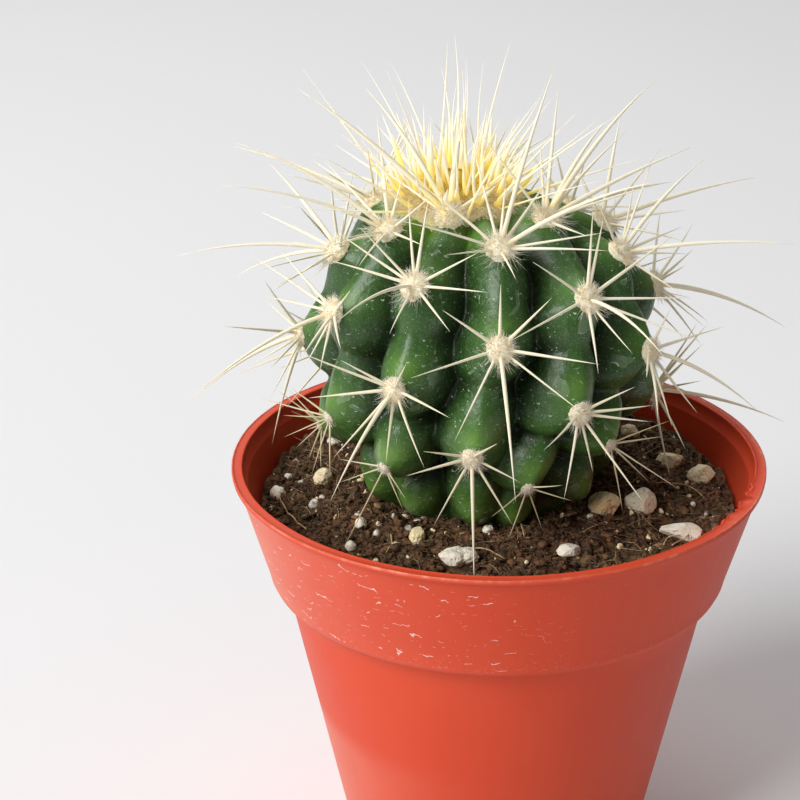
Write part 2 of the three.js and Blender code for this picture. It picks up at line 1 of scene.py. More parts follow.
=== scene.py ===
"""A round ribbed cactus in an orange-red nursery pot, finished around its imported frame.

Lengths in the classes below are millimetres in the frame's own axes: +Z up, the origin at the
centre of the pot's underside, the seen side towards -Y. A bearing is an angle round the stem in
degrees, 0 towards -Y and 90 towards +X, and a tilt is the angle down from the stem's top.
"""
import logging
import math
import random
from dataclasses import dataclass, field
from enum import Enum
from functools import lru_cache
from typing import Iterable, Sequence

import bmesh
import bpy
from mathutils import Matrix, Vector, noise


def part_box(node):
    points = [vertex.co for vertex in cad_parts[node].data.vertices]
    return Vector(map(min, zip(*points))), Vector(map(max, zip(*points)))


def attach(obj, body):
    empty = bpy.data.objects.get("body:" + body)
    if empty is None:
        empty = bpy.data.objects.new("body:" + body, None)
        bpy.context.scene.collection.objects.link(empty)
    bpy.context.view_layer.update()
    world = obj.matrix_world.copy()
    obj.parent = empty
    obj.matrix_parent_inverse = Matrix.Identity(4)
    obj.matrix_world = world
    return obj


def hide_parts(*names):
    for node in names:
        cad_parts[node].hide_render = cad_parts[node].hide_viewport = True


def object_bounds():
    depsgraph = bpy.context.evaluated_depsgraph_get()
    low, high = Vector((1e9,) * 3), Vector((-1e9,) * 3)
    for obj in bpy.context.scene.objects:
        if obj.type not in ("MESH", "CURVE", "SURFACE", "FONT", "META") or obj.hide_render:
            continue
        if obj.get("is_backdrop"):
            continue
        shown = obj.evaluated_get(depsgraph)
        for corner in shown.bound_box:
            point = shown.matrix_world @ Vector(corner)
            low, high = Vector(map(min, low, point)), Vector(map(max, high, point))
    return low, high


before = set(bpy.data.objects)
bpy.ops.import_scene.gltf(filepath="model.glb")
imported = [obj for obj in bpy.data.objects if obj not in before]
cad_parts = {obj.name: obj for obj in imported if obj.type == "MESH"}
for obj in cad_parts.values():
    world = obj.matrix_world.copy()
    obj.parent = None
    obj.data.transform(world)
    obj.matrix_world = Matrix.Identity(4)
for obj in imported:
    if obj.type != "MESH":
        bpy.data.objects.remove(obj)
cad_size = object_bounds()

MM = 0.001
NOISE_SEED = 7
UP = Vector((0.0, 0.0, 1.0))
GOLDEN = math.pi * (3.0 - math.sqrt(5.0))
NEEDLE_LAYERS = ("along", "youth", "age")
log = logging.getLogger("cactus")


# ---- Plain helpers -------------------------------------------------------------------------
def clamp(value: float, low: float = 0.0, high: float = 1.0) -> float:
    """Hold a value between two limits."""
    return max(low, min(high, value))


def smoothstep(value: float, low: float, high: float) -> float:
    """Ease from 0 at low to 1 at high."""
    part = clamp((value - low) / (high - low))
    return part * part * (3.0 - 2.0 * part)


def draw(n: float) -> float:
    """A repeatable draw between 0 and 1 for a number."""
    x = math.sin(n * 12.9898 + 4.1414) * 43758.5453
    return x - math.floor(x)


def grain(point: Vector, size: float, seed: float = 0.0) -> float:
    """Smooth noise between about -1 and 1.

    Args:
        point: Where to read it, in mm.
        size: The breadth of one lump, in mm.
        seed: Shifts the pattern.

    Returns:
        The noise there.
    """
    return noise.noise(point / size + Vector((seed, 1.7 * seed, -seed)))


def leaning(lean: float, turn: float) -> Vector:
    """The direction that leans from +Z by one angle, towards another one from +X."""
    return Vector((math.sin(lean) * math.cos(turn), math.sin(lean) * math.sin(turn), math.cos(lean)))


def keep(bm: bmesh.types.BMesh, name: str) -> bpy.types.Mesh:
    """Keep a bmesh as a mesh of the same size, and free it.

    Args:
        bm: The bmesh.
        name: The mesh's name.

    Returns:
        The mesh.
    """
    mesh = bpy.data.meshes.new(name)
    bm.to_mesh(mesh)
    bm.free()
    return mesh


def show(name: str, data: bpy.types.ID) -> bpy.types.Object:
    """Put a mesh, a light or the camera in the scene.

    Args:
        name: The object's name.
        data: What it holds.

    Returns:
        The object.
    """
    thing = bpy.data.objects.new(name, data)
    bpy.context.scene.collection.objects.link(thing)
    return thing


def place(bm: bmesh.types.BMesh, name: str, finish: bpy.types.Material, slot: str,
          node: str = "") -> bpy.types.Object:
    """Put a finished shape in the scene in metres, smooth, in its own material and riding on root.

    Args:
        bm: The shape, in mm.
        name: The piece's name.
        finish: Its material.
        slot: Not used.
        node: The node of the frame that it replaces, if it replaces one.

    Returns:
        The piece's object.
    """
    mesh = keep(bm, name)
    mesh.transform(Matrix.Scale(MM, 4))
    mesh.materials.append(finish)
    mesh.shade_smooth()
    piece = show(name, mesh)
    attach(piece, "root")
    if node:
        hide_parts(node)
    log.info("%s: %d faces", name, len(mesh.polygons))
    return piece


def spun(section: Sequence[tuple[float, float]], steps: int) -> bmesh.types.BMesh:
    """Turn a section once round the upright axis.

    Args:
        section: Radius and height of its points, from the axis and back to the axis.
        steps: How many steps the turn has.

    Returns:
        The closed shape, with its faces pointing outwards.
    """
    bm = bmesh.new()
    points = [bm.verts.new((r, 0.0, z)) for r, z in section]
    edges = [bm.edges.new(pair) for pair in zip(points, points[1:])]
    bmesh.ops.spin(
        bm, geom=points + edges, axis=UP, cent=(0.0, 0.0, 0.0), angle=2.0 * math.pi, steps=steps,
        use_merge=True,
    )
    bmesh.ops.remove_doubles(bm, verts=bm.verts, dist=1e-4)
    bmesh.ops.recalc_face_normals(bm, faces=bm.faces)
    return bm


class Heap:
    """Gathers many small shapes into one mesh, in batches so that every operator stays quick.

    Shapes are made in mm in the open batch; the finished piece is in metres.
    """

    BATCH = 6000

    def __init__(self, name: str, layers: Sequence[str] = ()) -> None:
        """Start a heap.

        Args:
            name: The name of the piece that it becomes.
            layers: Names of the number layers that its points carry.
        """
        self.name = name
        self.layer_names = tuple(layers)
        self.batches: list[bpy.types.Mesh] = []
        self.open_batch()

    def open_batch(self) -> None:
        """Start an empty batch with the heap's layers."""
        self.bm = bmesh.new()
        self.layers = {name: self.bm.verts.layers.float.new(name) for name in self.layer_names}

    def close_batch(self) -> None:
        """Keep the open batch as a mesh and start the next one."""
        self.batches.append(keep(self.bm, self.name))
        self.open_batch()

    def copy(self, blank: bpy.types.Mesh) -> list[bmesh.types.BMVert]:
        """Add a copy of a blank shape to the open batch.

        Args:
            blank: The shape.

        Returns:
            The copy's points.
        """
        if len(self.bm.verts) > self.BATCH:
            self.close_batch()
        start = len(self.bm.verts)
        self.bm.from_mesh(blank)
        self.bm.verts.ensure_lookup_table()
        return self.bm.verts[start:]

    def mark(self, verts: Iterable[bmesh.types.BMVert], **marks: float) -> None:
        """Give points their values.

        Args:
            verts: The points.
            marks: A value by the name of its layer.
        """
        for name, value in marks.items():
            layer = self.layers[name]
            for vert in verts:
                vert[layer] = value

    def finish(self, finish: bpy.types.Material, slot: str, node: str = "") -> None:
        """Join the batches into one piece.

        Args:
            finish: Its material.
            slot: Not used.
            node: The node of the frame that it replaces, if it replaces one.
        """
        self.close_batch()
        for batch in self.batches:
            self.bm.from_mesh(batch)
            bpy.data.meshes.remove(batch)
        place(self.bm, self.name, finish, slot, node)


# ---- Shader expressions --------------------------------------------------------------------
class Term:
    """A shader socket that Python expressions can use as a number."""

    def __init__(self, finish: "Finish", socket: bpy.types.NodeSocket) -> None:
        """Wrap a node's output socket."""
        self.finish = finish
        self.socket = socket

    def __add__(self, other: "Term | float") -> "Term":
        """Sum."""
        return self.finish.math("ADD", self, other)

    def __radd__(self, other: float) -> "Term":
        """Sum with a plain number on the left."""
        return self.finish.math("ADD", other, self)

    def __sub__(self, other: "Term | float") -> "Term":
        """Difference."""
        return self.finish.math("SUBTRACT", self, other)

    def __rsub__(self, other: float) -> "Term":
        """Difference from a plain number."""
        return self.finish.math("SUBTRACT", other, self)

    def __mul__(self, other: "Term | float") -> "Term":
        """Product."""
        return self.finish.math("MULTIPLY", self, other)

    def __rmul__(self, other: float) -> "Term":
        """Product with a plain number on the left."""
        return self.finish.math("MULTIPLY", other, self)


Value = Term | float | int | tuple


class Finish:
    """One material: a Principled surface whose inputs are written as expressions."""

    def __init__(self, name: str) -> None:
        """Make an empty material with its surface and output.

        Args:
            name: The material's name.
        """
        self.material = bpy.data.materials.new(name)
        self.material.use_nodes = True
        self.tree = self.material.node_tree
        self.tree.nodes.clear()
        output = self.tree.nodes.new("ShaderNodeOutputMaterial")
        self.surface = self.tree.nodes.new("ShaderNodeBsdfPrincipled")
        self.tree.links.new(self.surface.outputs["BSDF"], output.inputs["Surface"])
        self.place = self.node("ShaderNodeTexCoord", output="Object")

    def feed(self, socket: bpy.types.NodeSocket, value: Value) -> None:
        """Give a socket its link or its plain value.

        Args:
            socket: The socket.
            value: A term, a number, a vector or a colour.
        """
        if isinstance(value, Term):
            self.tree.links.new(value.socket, socket)
        elif isinstance(value, tuple) and len(value) == 3 and socket.type == "RGBA":
            socket.default_value = (*value, 1.0)
        else:
            socket.default_value = value

    def node(self, kind: str, settings: dict | None = None, inputs: dict | None = None,
             output: str | int = 0) -> Term:
        """Add any node.

        Args:
            kind: The node's type name.
            settings: Attributes of the node, set first.
            inputs: Values or links by socket name, identifier or number.
            output: The output to return, by name, identifier or number.

        Returns:
            The named output as a term.
        """
        node = self.tree.nodes.new(kind)
        for name, value in (settings or {}).items():
            setattr(node, name, value)
        for key, value in (inputs or {}).items():
            self.feed(self.find(node.inputs, key), value)
        return Term(self, self.find(node.outputs, output))

    @staticmethod
    def find(sockets: bpy.types.bpy_prop_collection, key: str | int) -> bpy.types.NodeSocket:
        """Find a socket.

        Args:
            sockets: The inputs or outputs of a node.
            key: Its identifier, name or number.

        Returns:
            The socket.
        """
        if isinstance(key, int):
            return sockets[key]
        for socket in sockets:
            if socket.identifier == key:
                return socket
        return sockets[key]

    def math(self, operation: str, *values: Value) -> Term:
        """A Math node on up to three values."""
        return self.node("ShaderNodeMath", {"operation": operation}, dict(enumerate(values)))

    def most(self, first: Term, *others: Term) -> Term:
        """Take the largest of several values.

        Args:
            first: One value.
            others: The others.

        Returns:
            The largest.
        """
        for other in others:
            first = self.math("MAXIMUM", first, other)
        return first

    def mix(self, factor: Value, low: Value, high: Value) -> Term:
        """Blend two colours.

        Args:
            factor: How much of the second one shows.
            low: The first colour.
            high: The second colour.

        Returns:
            The blend.
        """
        return self.node(
            "ShaderNodeMix", {"data_type": "RGBA", "clamp_factor": True},
            {"Factor_Float": factor, "A_Color": low, "B_Color": high}, "Result_Color",
        )

    def coats(self, colour: Value, *coats: tuple[Value, Value]) -> Term:
        """Lay colours over one another.

        Args:
            colour: The lowest colour.
            coats: How much of each next colour shows, and the colour.

        Returns:
            The colour on top.
        """
        for share, coat in coats:
            colour = self.mix(share, colour, coat)
        return colour

    def ramp(self, value: Term, low: float, high: float) -> Term:
        """Ease a value from 0 to 1.

        Args:
            value: The value.
            low: Where the result is 0.
            high: Where the result is 1.

        Returns:
            The eased value.
        """
        return self.node(
            "ShaderNodeMapRange", {"interpolation_type": "SMOOTHSTEP"},
            {"Value": value, "From Min": low, "From Max": high},
        )

    def attribute(self, name: str) -> Term:
        """Read one of the mesh's own number layers."""
        return self.node("ShaderNodeAttribute", {"attribute_name": name}, output="Fac")

    def stretched(self, along: tuple[float, float, float], place: Term | None = None) -> Term:
        """Object coordinates scaled by axis."""
        return self.node("ShaderNodeMapping", inputs={"Vector": place or self.place, "Scale": along})

    def clouds(self, size: float, detail: float = 3.0, place: Term | None = None,
               rough: float = 0.5, warp: float = 0.0) -> Term:
        """Make soft noise from 0 to 1.

        Args:
            size: The breadth of its lumps, in mm.
            detail: How many finer layers it has.
            place: The coordinates, or the object's own.
            rough: How strong the finer layers are.
            warp: How far it is distorted.

        Returns:
            The noise.
        """
        return self.node(
            "ShaderNodeTexNoise", inputs={
                "Vector": place or self.place, "Scale": 1.0 / (size * MM), "Detail": detail,
                "Roughness": rough, "Distortion": warp,
            },
        )

    def cells(self, size: float, feature: str = "F1", place: Term | None = None,
              output: str = "Distance") -> Term:
        """Cut the surface into Voronoi cells.

        Args:
            size: The breadth of a cell, in mm.
            feature: What is measured.
            place: The coordinates, or the object's own.
            output: Distance, Position or Color.

        Returns:
            The output asked for.
        """
        return self.node(
            "ShaderNodeTexVoronoi", {"feature": feature},
            {"Vector": place or self.place, "Scale": 1.0 / (size * MM)}, output,
        )

    def warped(self, size: float, reach: float, place: Term | None = None) -> Term:
        """Coordinates pushed about by noise.

        Args:
            size: The breadth of the noise's lumps, in mm.
            reach: How far a point is pushed, in mm.
            place: The coordinates to push, or the object's own.

        Returns:
            The pushed coordinates.
        """
        start = place or self.place
        push = self.node(
            "ShaderNodeTexNoise",
            inputs={"Vector": start, "Scale": 1.0 / (size * MM), "Detail": 1.0}, output="Color",
        )
        centred = self.node(
            "ShaderNodeVectorMath", {"operation": "SUBTRACT"}, {0: push, 1: (0.5, 0.5, 0.5)})
        scaled = self.node(
            "ShaderNodeVectorMath", {"operation": "SCALE"}, {0: centred, "Scale": 2.0 * reach * MM})
        return self.node("ShaderNodeVectorMath", {"operation": "ADD"}, {0: start, 1: scaled})

    def part(self, vector: Term, axis: str) -> Term:
        """One part of a vector: X, Y or Z."""
        return self.node("ShaderNodeSeparateXYZ", inputs={"Vector": vector}, output=axis)

    def dots(self, size: float, radius: float, place: Term | None = None) -> Term:
        """1 in small round dots of a radius in mm, one to a cell of a size in mm."""
        edge = radius / size
        return 1.0 - self.ramp(self.cells(size, place=place), 0.6 * edge, edge)

    def crescents(self, size: float, radius: float, width: float) -> Term:
        """1 in small smiles: painted glints on the lower rims of flat blisters.

        Args:
            size: The size of the cells that hold one each, in mm.
            radius: The radius of a smile, in mm.
            width: The width of its line, in mm.

        Returns:
            1 on a smile and 0 elsewhere.
        """
        place = self.warped(0.9, 0.16)
        middle = self.cells(size, place=place, output="Position")
        apart = self.node("ShaderNodeVectorMath", {"operation": "SUBTRACT"}, {0: place, 1: middle})
        far = self.cells(size, place=place)
        off = self.math("ABSOLUTE", far - radius / size)
        ring = 1.0 - self.ramp(off, 0.35 * width / size, width / size)
        low = self.ramp(self.part(apart, "Z") * (-1.0 / (radius * MM)), 0.15, 0.55)
        return ring * low

    def dashes(self, pitch: float, length: float, width: float, wander: float,
               cover: float) -> Term:
        """Short wavy dashes that lie in rows round the upright axis.

        Args:
            pitch: The height between two rows, in mm.
            length: About how long a dash is, in mm.
            width: The width of a dash, in mm.
            wander: How far a row rises and falls, in mm.
            cover: The share of a row that has dashes.

        Returns:
            1 on a dash and 0 elsewhere.
        """
        wave = (self.clouds(1.7, 2.0) - 0.5) * (2.0 * wander / pitch)
        slope = (self.clouds(9.0, 1.0) - 0.5) * 2.6
        row = self.part(self.place, "Z") * (1.0 / (pitch * MM)) + wave + slope
        line = self.math("ABSOLUTE", self.math("FRACT", row) - 0.5)
        line = 1.0 - self.ramp(line, 0.3 * width / pitch, width / pitch)
        spot = self.node("ShaderNodeCombineXYZ", inputs={
            "X": self.part(self.place, "X"), "Y": self.part(self.place, "Y"),
            "Z": self.math("FLOOR", row) * 0.0073,
        })
        shown = self.clouds(length, 1.0, spot)
        return line * self.ramp(shown, 0.70 - 0.2 * cover, 0.73 - 0.2 * cover)

    def bumps(self, *layers: tuple[Term, float, float]) -> Term:
        """Lay bumps over one another.

        Args:
            layers: Height, depth in mm and strength of each, the lowest one first.

        Returns:
            The bumpy surface's normal.
        """
        under: dict[str, Term] = {}
        for height, depth, strength in layers:
            sockets = {"Height": height, "Distance": depth * MM, "Strength": strength, **under}
            under = {"Normal": self.node("ShaderNodeBump", inputs=sockets)}
        return under["Normal"]

    def set(self, **inputs: Value) -> bpy.types.Material:
        """Finish the surface.

        Args:
            inputs: Its inputs, named with _ for a space.

        Returns:
            The material.
        """
        for name, value in inputs.items():
            self.feed(self.surface.inputs[name.replace("_", " ")], value)
        return self.material


# ---- Finishes ------------------------------------------------------------------------------
@dataclass(frozen=True)
class PotPlastic:
    """Orange-red moulded plastic, slightly scuffed, with fine lime marks on the collar, a painted
    highlight line along the lip's outer edge and a painted sheen on its left side.
    """

    colour: tuple = (0.67, 0.062, 0.020)
    faded: tuple = (0.71, 0.084, 0.032)
    # A whitish painted sheen: the window's reflection painted onto the pot's left side.
    painted_sheen: tuple = (0.78, 0.30, 0.22)
    lime: tuple = (0.90, 0.72, 0.66)
    grit: tuple = (0.20, 0.03, 0.02)
    rubbed_and_highlit: tuple = (0.94, 0.40, 0.28)
    roughness: float = 0.38

    def make(self) -> bpy.types.Material:
        """Build the material.

        Returns:
            The material.
        """
        f = Finish("pot_plastic")
        marked = f.attribute("marked")
        worn = f.ramp(f.clouds(26.0, 4.0, rough=0.6), 0.35, 0.75)
        squiggles = f.dashes(2.1, 2.6, 0.11, 1.3, 0.49) * f.ramp(marked, 0.35, 0.55)
        fine = f.dashes(1.2, 1.2, 0.065, 0.8, 0.44) * marked * 0.5
        specks = f.dots(0.9, 0.075) * f.ramp(f.clouds(2.5), 0.46, 0.60)
        specks = specks * f.ramp(marked, 0.0, 0.6) * 0.75
        dusty = f.dots(0.62, 0.045) * 0.20 * f.ramp(f.clouds(11.0, 2.0), 0.42, 0.66)
        seam = f.attribute("seam") * f.ramp(f.clouds(0.4, 2.0), 0.56, 0.68) * 0.16
        marks = f.most(squiggles, fine, specks, dusty, seam)
        # Lighter outer edge of the lip: partly rubbing wear, partly a painted highlight line.
        rubbed_and_highlit = f.attribute("scuff") * (0.35 + 0.65 * f.ramp(f.clouds(1.6, 4.0), 0.42, 0.66))
        colour = f.coats(
            self.colour,
            (worn * 0.6, self.faded),
            # Painted sheen: the left side is painted paler, standing for the window's reflection.
            (f.attribute("bleach") * (0.45 + 0.4 * worn), self.painted_sheen),
            (marks * 0.8, self.lime),
            (f.dots(3.4, 0.14) * 0.5, self.grit),
            (rubbed_and_highlit * 0.65, self.rubbed_and_highlit),
        )
        streaks = f.clouds(1.4, 5.0, f.stretched((1.0, 1.0, 0.25)))
        relief = f.bumps(
            (f.clouds(0.7, 4.0), 0.030, 0.5), (f.clouds(9.0, 2.0), 0.22, 0.30), (marks, 0.05, 0.6))
        return f.set(
            Base_Color=colour, Roughness=self.roughness + 0.12 * worn + 0.08 * streaks + 0.25 * marks,
            Normal=relief, Specular_IOR_Level=0.24,
        )


@dataclass(frozen=True)
class CactusSkin:
    """Waxy deep green skin, painted darker in the valleys as painted shade, lighter green where flesh
    is new near the crown, a painted highlight above each areole and on the lower lobes, tiny painted
    glints under blisters, and thin dried films.
    """

    painted_valley_shade: tuple = (0.008, 0.022, 0.004)
    green: tuple = (0.034, 0.094, 0.018)
    bright: tuple = (0.135, 0.285, 0.042)
    mottled: tuple = (0.120, 0.220, 0.075)
    bloom: tuple = (0.25, 0.34, 0.24)
    pale: tuple = (0.66, 0.76, 0.62)

    def make(self) -> bpy.types.Material:
        """Build the material.

        Returns:
            The material.
        """
        f = Finish("cactus_skin")
        crest = f.attribute("crest")
        blotch = f.clouds(5.0, 4.0, rough=0.6)
        fine = f.clouds(0.26, 3.0)
        coarse = f.ramp(f.clouds(0.7, 4.0, rough=0.65), 0.54, 0.70)
        mottle = f.most(coarse, f.ramp(fine, 0.55, 0.66) * 0.7)
        bloom = f.ramp(f.clouds(4.2, 5.0, f.stretched((1.0, 1.0, 0.55)), rough=0.68), 0.53, 0.74)
        field = f.clouds(4.6, 2.0, warp=0.9)
        film = f.ramp(field, 0.645, 0.655) * f.ramp(crest, 0.25, 0.45)
        rim = 1.0 - f.ramp(f.math("ABSOLUTE", field - 0.65), 0.003, 0.010)
        rim = rim * f.ramp(f.clouds(1.6, 2.0), 0.48, 0.60) * f.ramp(crest, 0.25, 0.45)
        dots = f.dots(1.05, 0.125) * f.ramp(f.clouds(2.6), 0.36, 0.52)
        # Painted highlights: small pale crescents where blisters would catch the light on their lower
        # rims.
        painted_blister_glints = f.crescents(2.1, 0.30, 0.085) * f.ramp(f.clouds(1.9), 0.40, 0.55)
        threads = f.dashes(2.4, 1.8, 0.065, 2.2, 0.40)
        # marks: real dots, film rims and threads, together with the painted glints.
        marks = f.most(dots, f.dots(0.52, 0.07) * 0.6, painted_blister_glints * 0.9, rim * 0.75, threads * 0.6)
        # The valleys are painted nearly black as painted shade; the green comes in towards the crests.
        colour = f.coats(
            self.painted_valley_shade,
            (f.ramp(crest + 0.40 * (blotch - 0.5), 0.0, 0.60), self.green),
            # glow: the lighter green of new flesh near the crown, and a painted highlight above each
            # areole and on the lower lobes.
            (f.attribute("glow") * (0.45 + 0.8 * blotch), self.bright),
            (mottle * 0.55 * f.ramp(crest, 0.0, 0.4), self.mottled),
            (bloom * (0.30 + 0.35 * mottle) * f.ramp(crest, 0.15, 0.6), self.bloom),
            (film * 0.12, self.pale),
            (marks * 0.8, self.pale),
        )
        dusty = 1.0 - f.ramp(crest, 0.0, 0.30)
        rough = 0.29 + 0.20 * bloom + 0.10 * f.clouds(1.8, 4.0) + 0.2 * marks + 0.12 * dusty
        relief = f.bumps(
            (fine, 0.035, 0.7), (f.clouds(0.7, 3.0), 0.08, 0.7), (f.clouds(2.6, 4.0), 0.50, 0.7),
            (marks + film * 0.4, 0.06, 0.7),
        )
        return f.set(
            Base_Color=colour, Roughness=rough, Normal=relief, Specular_IOR_Level=0.38,
            Coat_Weight=0.08, Coat_Roughness=0.25, Subsurface_Weight=0.04,
            Subsurface_Radius=(0.0010, 0.0024, 0.0006), Subsurface_Scale=0.5,
        )


@dataclass(frozen=True)
class SpineHorn:
    """Ivory spines, peach at the root, yellow where they are new and olive where they are old, with a
    faint painted glow from emission.
    """

    name: str = "spine_horn"
    glow: float = 0.09
    grained: float = 0.20
    ivory: tuple = (0.90, 0.84, 0.66)
    root: tuple = (0.72, 0.55, 0.30)
    old: tuple = (0.50, 0.42, 0.20)
    young: tuple = (1.0, 0.78, 0.15)
    streak: tuple = (0.60, 0.49, 0.28)

    def make(self) -> bpy.types.Material:
        """Build the material.

        Returns:
            The material.
        """
        f = Finish(self.name)
        along = f.attribute("along")
        streaks = f.clouds(0.4, 3.0, f.stretched((1.0, 1.0, 0.3)))
        colour = f.coats(
            self.ivory,
            ((1.0 - f.ramp(along, 0.0, 0.14)) * 0.55, self.root),
            (f.attribute("age") * 0.85, self.old),
            (f.ramp(f.attribute("youth") - along, -0.18, 0.30) * 0.95, self.young),
            (streaks * self.grained, self.streak),
        )
        relief = f.bumps((f.clouds(0.3, 2.0), 0.03, 0.5))
        # The emission is a painted glow that stands for light passing through the horn.
        return f.set(
            Base_Color=colour, Roughness=0.45 + 0.15 * streaks, Normal=relief,
            Subsurface_Weight=0.2, Subsurface_Radius=(0.0006, 0.0005, 0.0003),
            Subsurface_Scale=0.5, Emission_Color=colour, Emission_Strength=self.glow,
        )


@dataclass(frozen=True)
class AreoleWool:
    """Short felt: cream on the young areoles, greyer with brown specks on the old ones, with a faint
    painted glow from emission.
    """

    cream: tuple = (0.97, 0.90, 0.70)
    peach: tuple = (0.95, 0.76, 0.45)
    grey: tuple = (0.80, 0.70, 0.55)
    yellow: tuple = (1.0, 0.78, 0.16)
    speck: tuple = (0.55, 0.34, 0.16)
    tip: tuple = (0.96, 0.93, 0.82)

    def make(self) -> bpy.types.Material:
        """Build the material.

        Returns:
            The material.
        """
        f = Finish("areole_wool")
        age = f.attribute("age")
        colour = f.coats(
            self.cream,
            (f.ramp(f.clouds(0.9, 3.0), 0.44, 0.62) * 0.85, self.peach),
            (age * 0.8, self.grey),
            (f.attribute("along") * 0.6, self.tip),
            (f.ramp(f.attribute("youth"), 0.05, 0.75), self.yellow),
            (f.ramp(f.clouds(0.45, 3.0), 0.60, 0.72) * (0.30 + 0.5 * age), self.speck),
        )
        relief = f.bumps((f.clouds(0.22, 4.0), 0.10, 0.9))
        # The emission is a painted glow, standing for light scattered through the felt.
        return f.set(
            Base_Color=colour, Roughness=0.92, Normal=relief, Sheen_Weight=0.35,
            Sheen_Roughness=0.5, Specular_IOR_Level=0.2, Subsurface_Weight=0.2,
            Subsurface_Radius=(0.0008, 0.0006, 0.0003), Subsurface_Scale=0.5,
            Emission_Color=colour, Emission_Strength=0.05,
        )


@dataclass(frozen=True)
class Peat:
    """Crumbly peat in several browns, with reddish bits of bark."""

    name: str = "peat"
    dark: tuple = (0.020, 0.011, 0.006)
    brown: tuple = (0.150, 0.080, 0.032)
    rust: tuple = (0.230, 0.105, 0.050)
    dried: tuple = (0.260, 0.165, 0.085)
    chaff: tuple = (0.34, 0.21, 0.12)
    rust_from: float = 0.70

    def make(self) -> bpy.types.Material:
        """Build the material.

        Returns:
            The material.
        """
        f = Finish(self.name)
        lumps = f.clouds(1.1, 5.0, rough=0.68)
        dry = f.ramp(f.clouds(7.0, 4.0, rough=0.6), 0.47, 0.66) * f.ramp(lumps, 0.42, 0.58)
        bits = f.cells(1.3, output="Color")
        pick = f.node("ShaderNodeSeparateColor", inputs={"Color": bits}, output="Red")
        fine = f.clouds(0.25, 4.0)
        colour = f.coats(
            self.dark,
            (f.ramp(lumps, 0.36, 0.64), self.brown),
            (dry * 0.6, self.dried),
            (f.ramp(pick, self.rust_from, 1.0) * 0.8, self.rust),
            (f.ramp(fine, 0.58, 0.76) * 0.40, self.chaff),
        )
        return f.set(
            Base_Color=colour, Roughness=0.78 + 0.2 * fine, Specular_IOR_Level=0.35,
            Normal=f.bumps((fine, 0.18, 0.9), (lumps, 0.6, 0.7)),
        )


class StoneKind(Enum):
    """The pebbles mixed into the soil: light colour, shaded colour and pit size."""

    WHITE = ((0.88, 0.82, 0.68), (0.66, 0.55, 0.38), 0.8)
    GREY = ((0.92, 0.84, 0.63), (0.70, 0.58, 0.36), 0.9)
    CREAM = ((0.96, 0.84, 0.52), (0.84, 0.56, 0.20), 1.1)
    TAN = ((0.92, 0.79, 0.52), (0.62, 0.46, 0.26), 0.7)


@dataclass(frozen=True)
class Stone:
    """Matt porous stone."""

    kind: StoneKind
    hollow: tuple = (0.24, 0.17, 0.11)
    crack: tuple = (0.20, 0.14, 0.09)

    def make(self) -> bpy.types.Material:
        """Build the material.

        Returns:
            The material.
        """
        light, shade, pit = self.kind.value
        f = Finish(f"stone_{self.kind.name.lower()}")
        pits = 1.0 - f.ramp(f.cells(pit, place=f.warped(0.6, 0.25)), 0.10, 0.34)
        cracks = 1.0 - f.ramp(f.cells(2.3, "DISTANCE_TO_EDGE", f.warped(0.9, 0.5)), 0.008, 0.03)
        colour = f.coats(
            light,
            (f.ramp(f.clouds(2.4, 5.0, rough=0.65), 0.46, 0.74) * 0.85, shade),
            (pits * 0.22, self.hollow),
            (cracks * 0.30, self.crack),
        )
        relief = f.bumps(
            (1.0 - pits, 0.14, 0.7), (1.0 - cracks, 0.10, 0.6), (f.clouds(0.3, 3.0), 0.07, 0.8))
        return f.set(Base_Color=colour, Roughness=0.85, Normal=relief, Specular_IOR_Level=0.3)


@dataclass(frozen=True)
class DryRoot:
    """Thin dry roots and fibres on the soil."""

    name: str
    light: tuple
    dark: tuple

    def make(self) -> bpy.types.Material:
        """Build the material.

        Returns:
            The material.
        """
        f = Finish(self.name)
        streak = f.clouds(0.8, 3.0)
        colour = f.mix(f.ramp(streak, 0.3, 0.7), self.light, self.dark)
        return f.set(Base_Color=colour, Roughness=0.7, Normal=f.bumps((streak, 0.05, 0.5)))


@dataclass(frozen=True)
class StudioPaper:
    """The plain pale ground that the pot stands on."""

    colour: tuple = (0.86, 0.86, 0.87)
    shade: tuple = (0.82, 0.82, 0.83)

    def make(self) -> bpy.types.Material:
        """Build the material.

        Returns:
            The material.
        """
        f = Finish("studio_paper")
        colour = f.mix(f.clouds(180.0, 2.0) * 0.1, self.colour, self.shade)
        return f.set(Base_Color=colour, Roughness=0.8, Specular_IOR_Level=0.2)


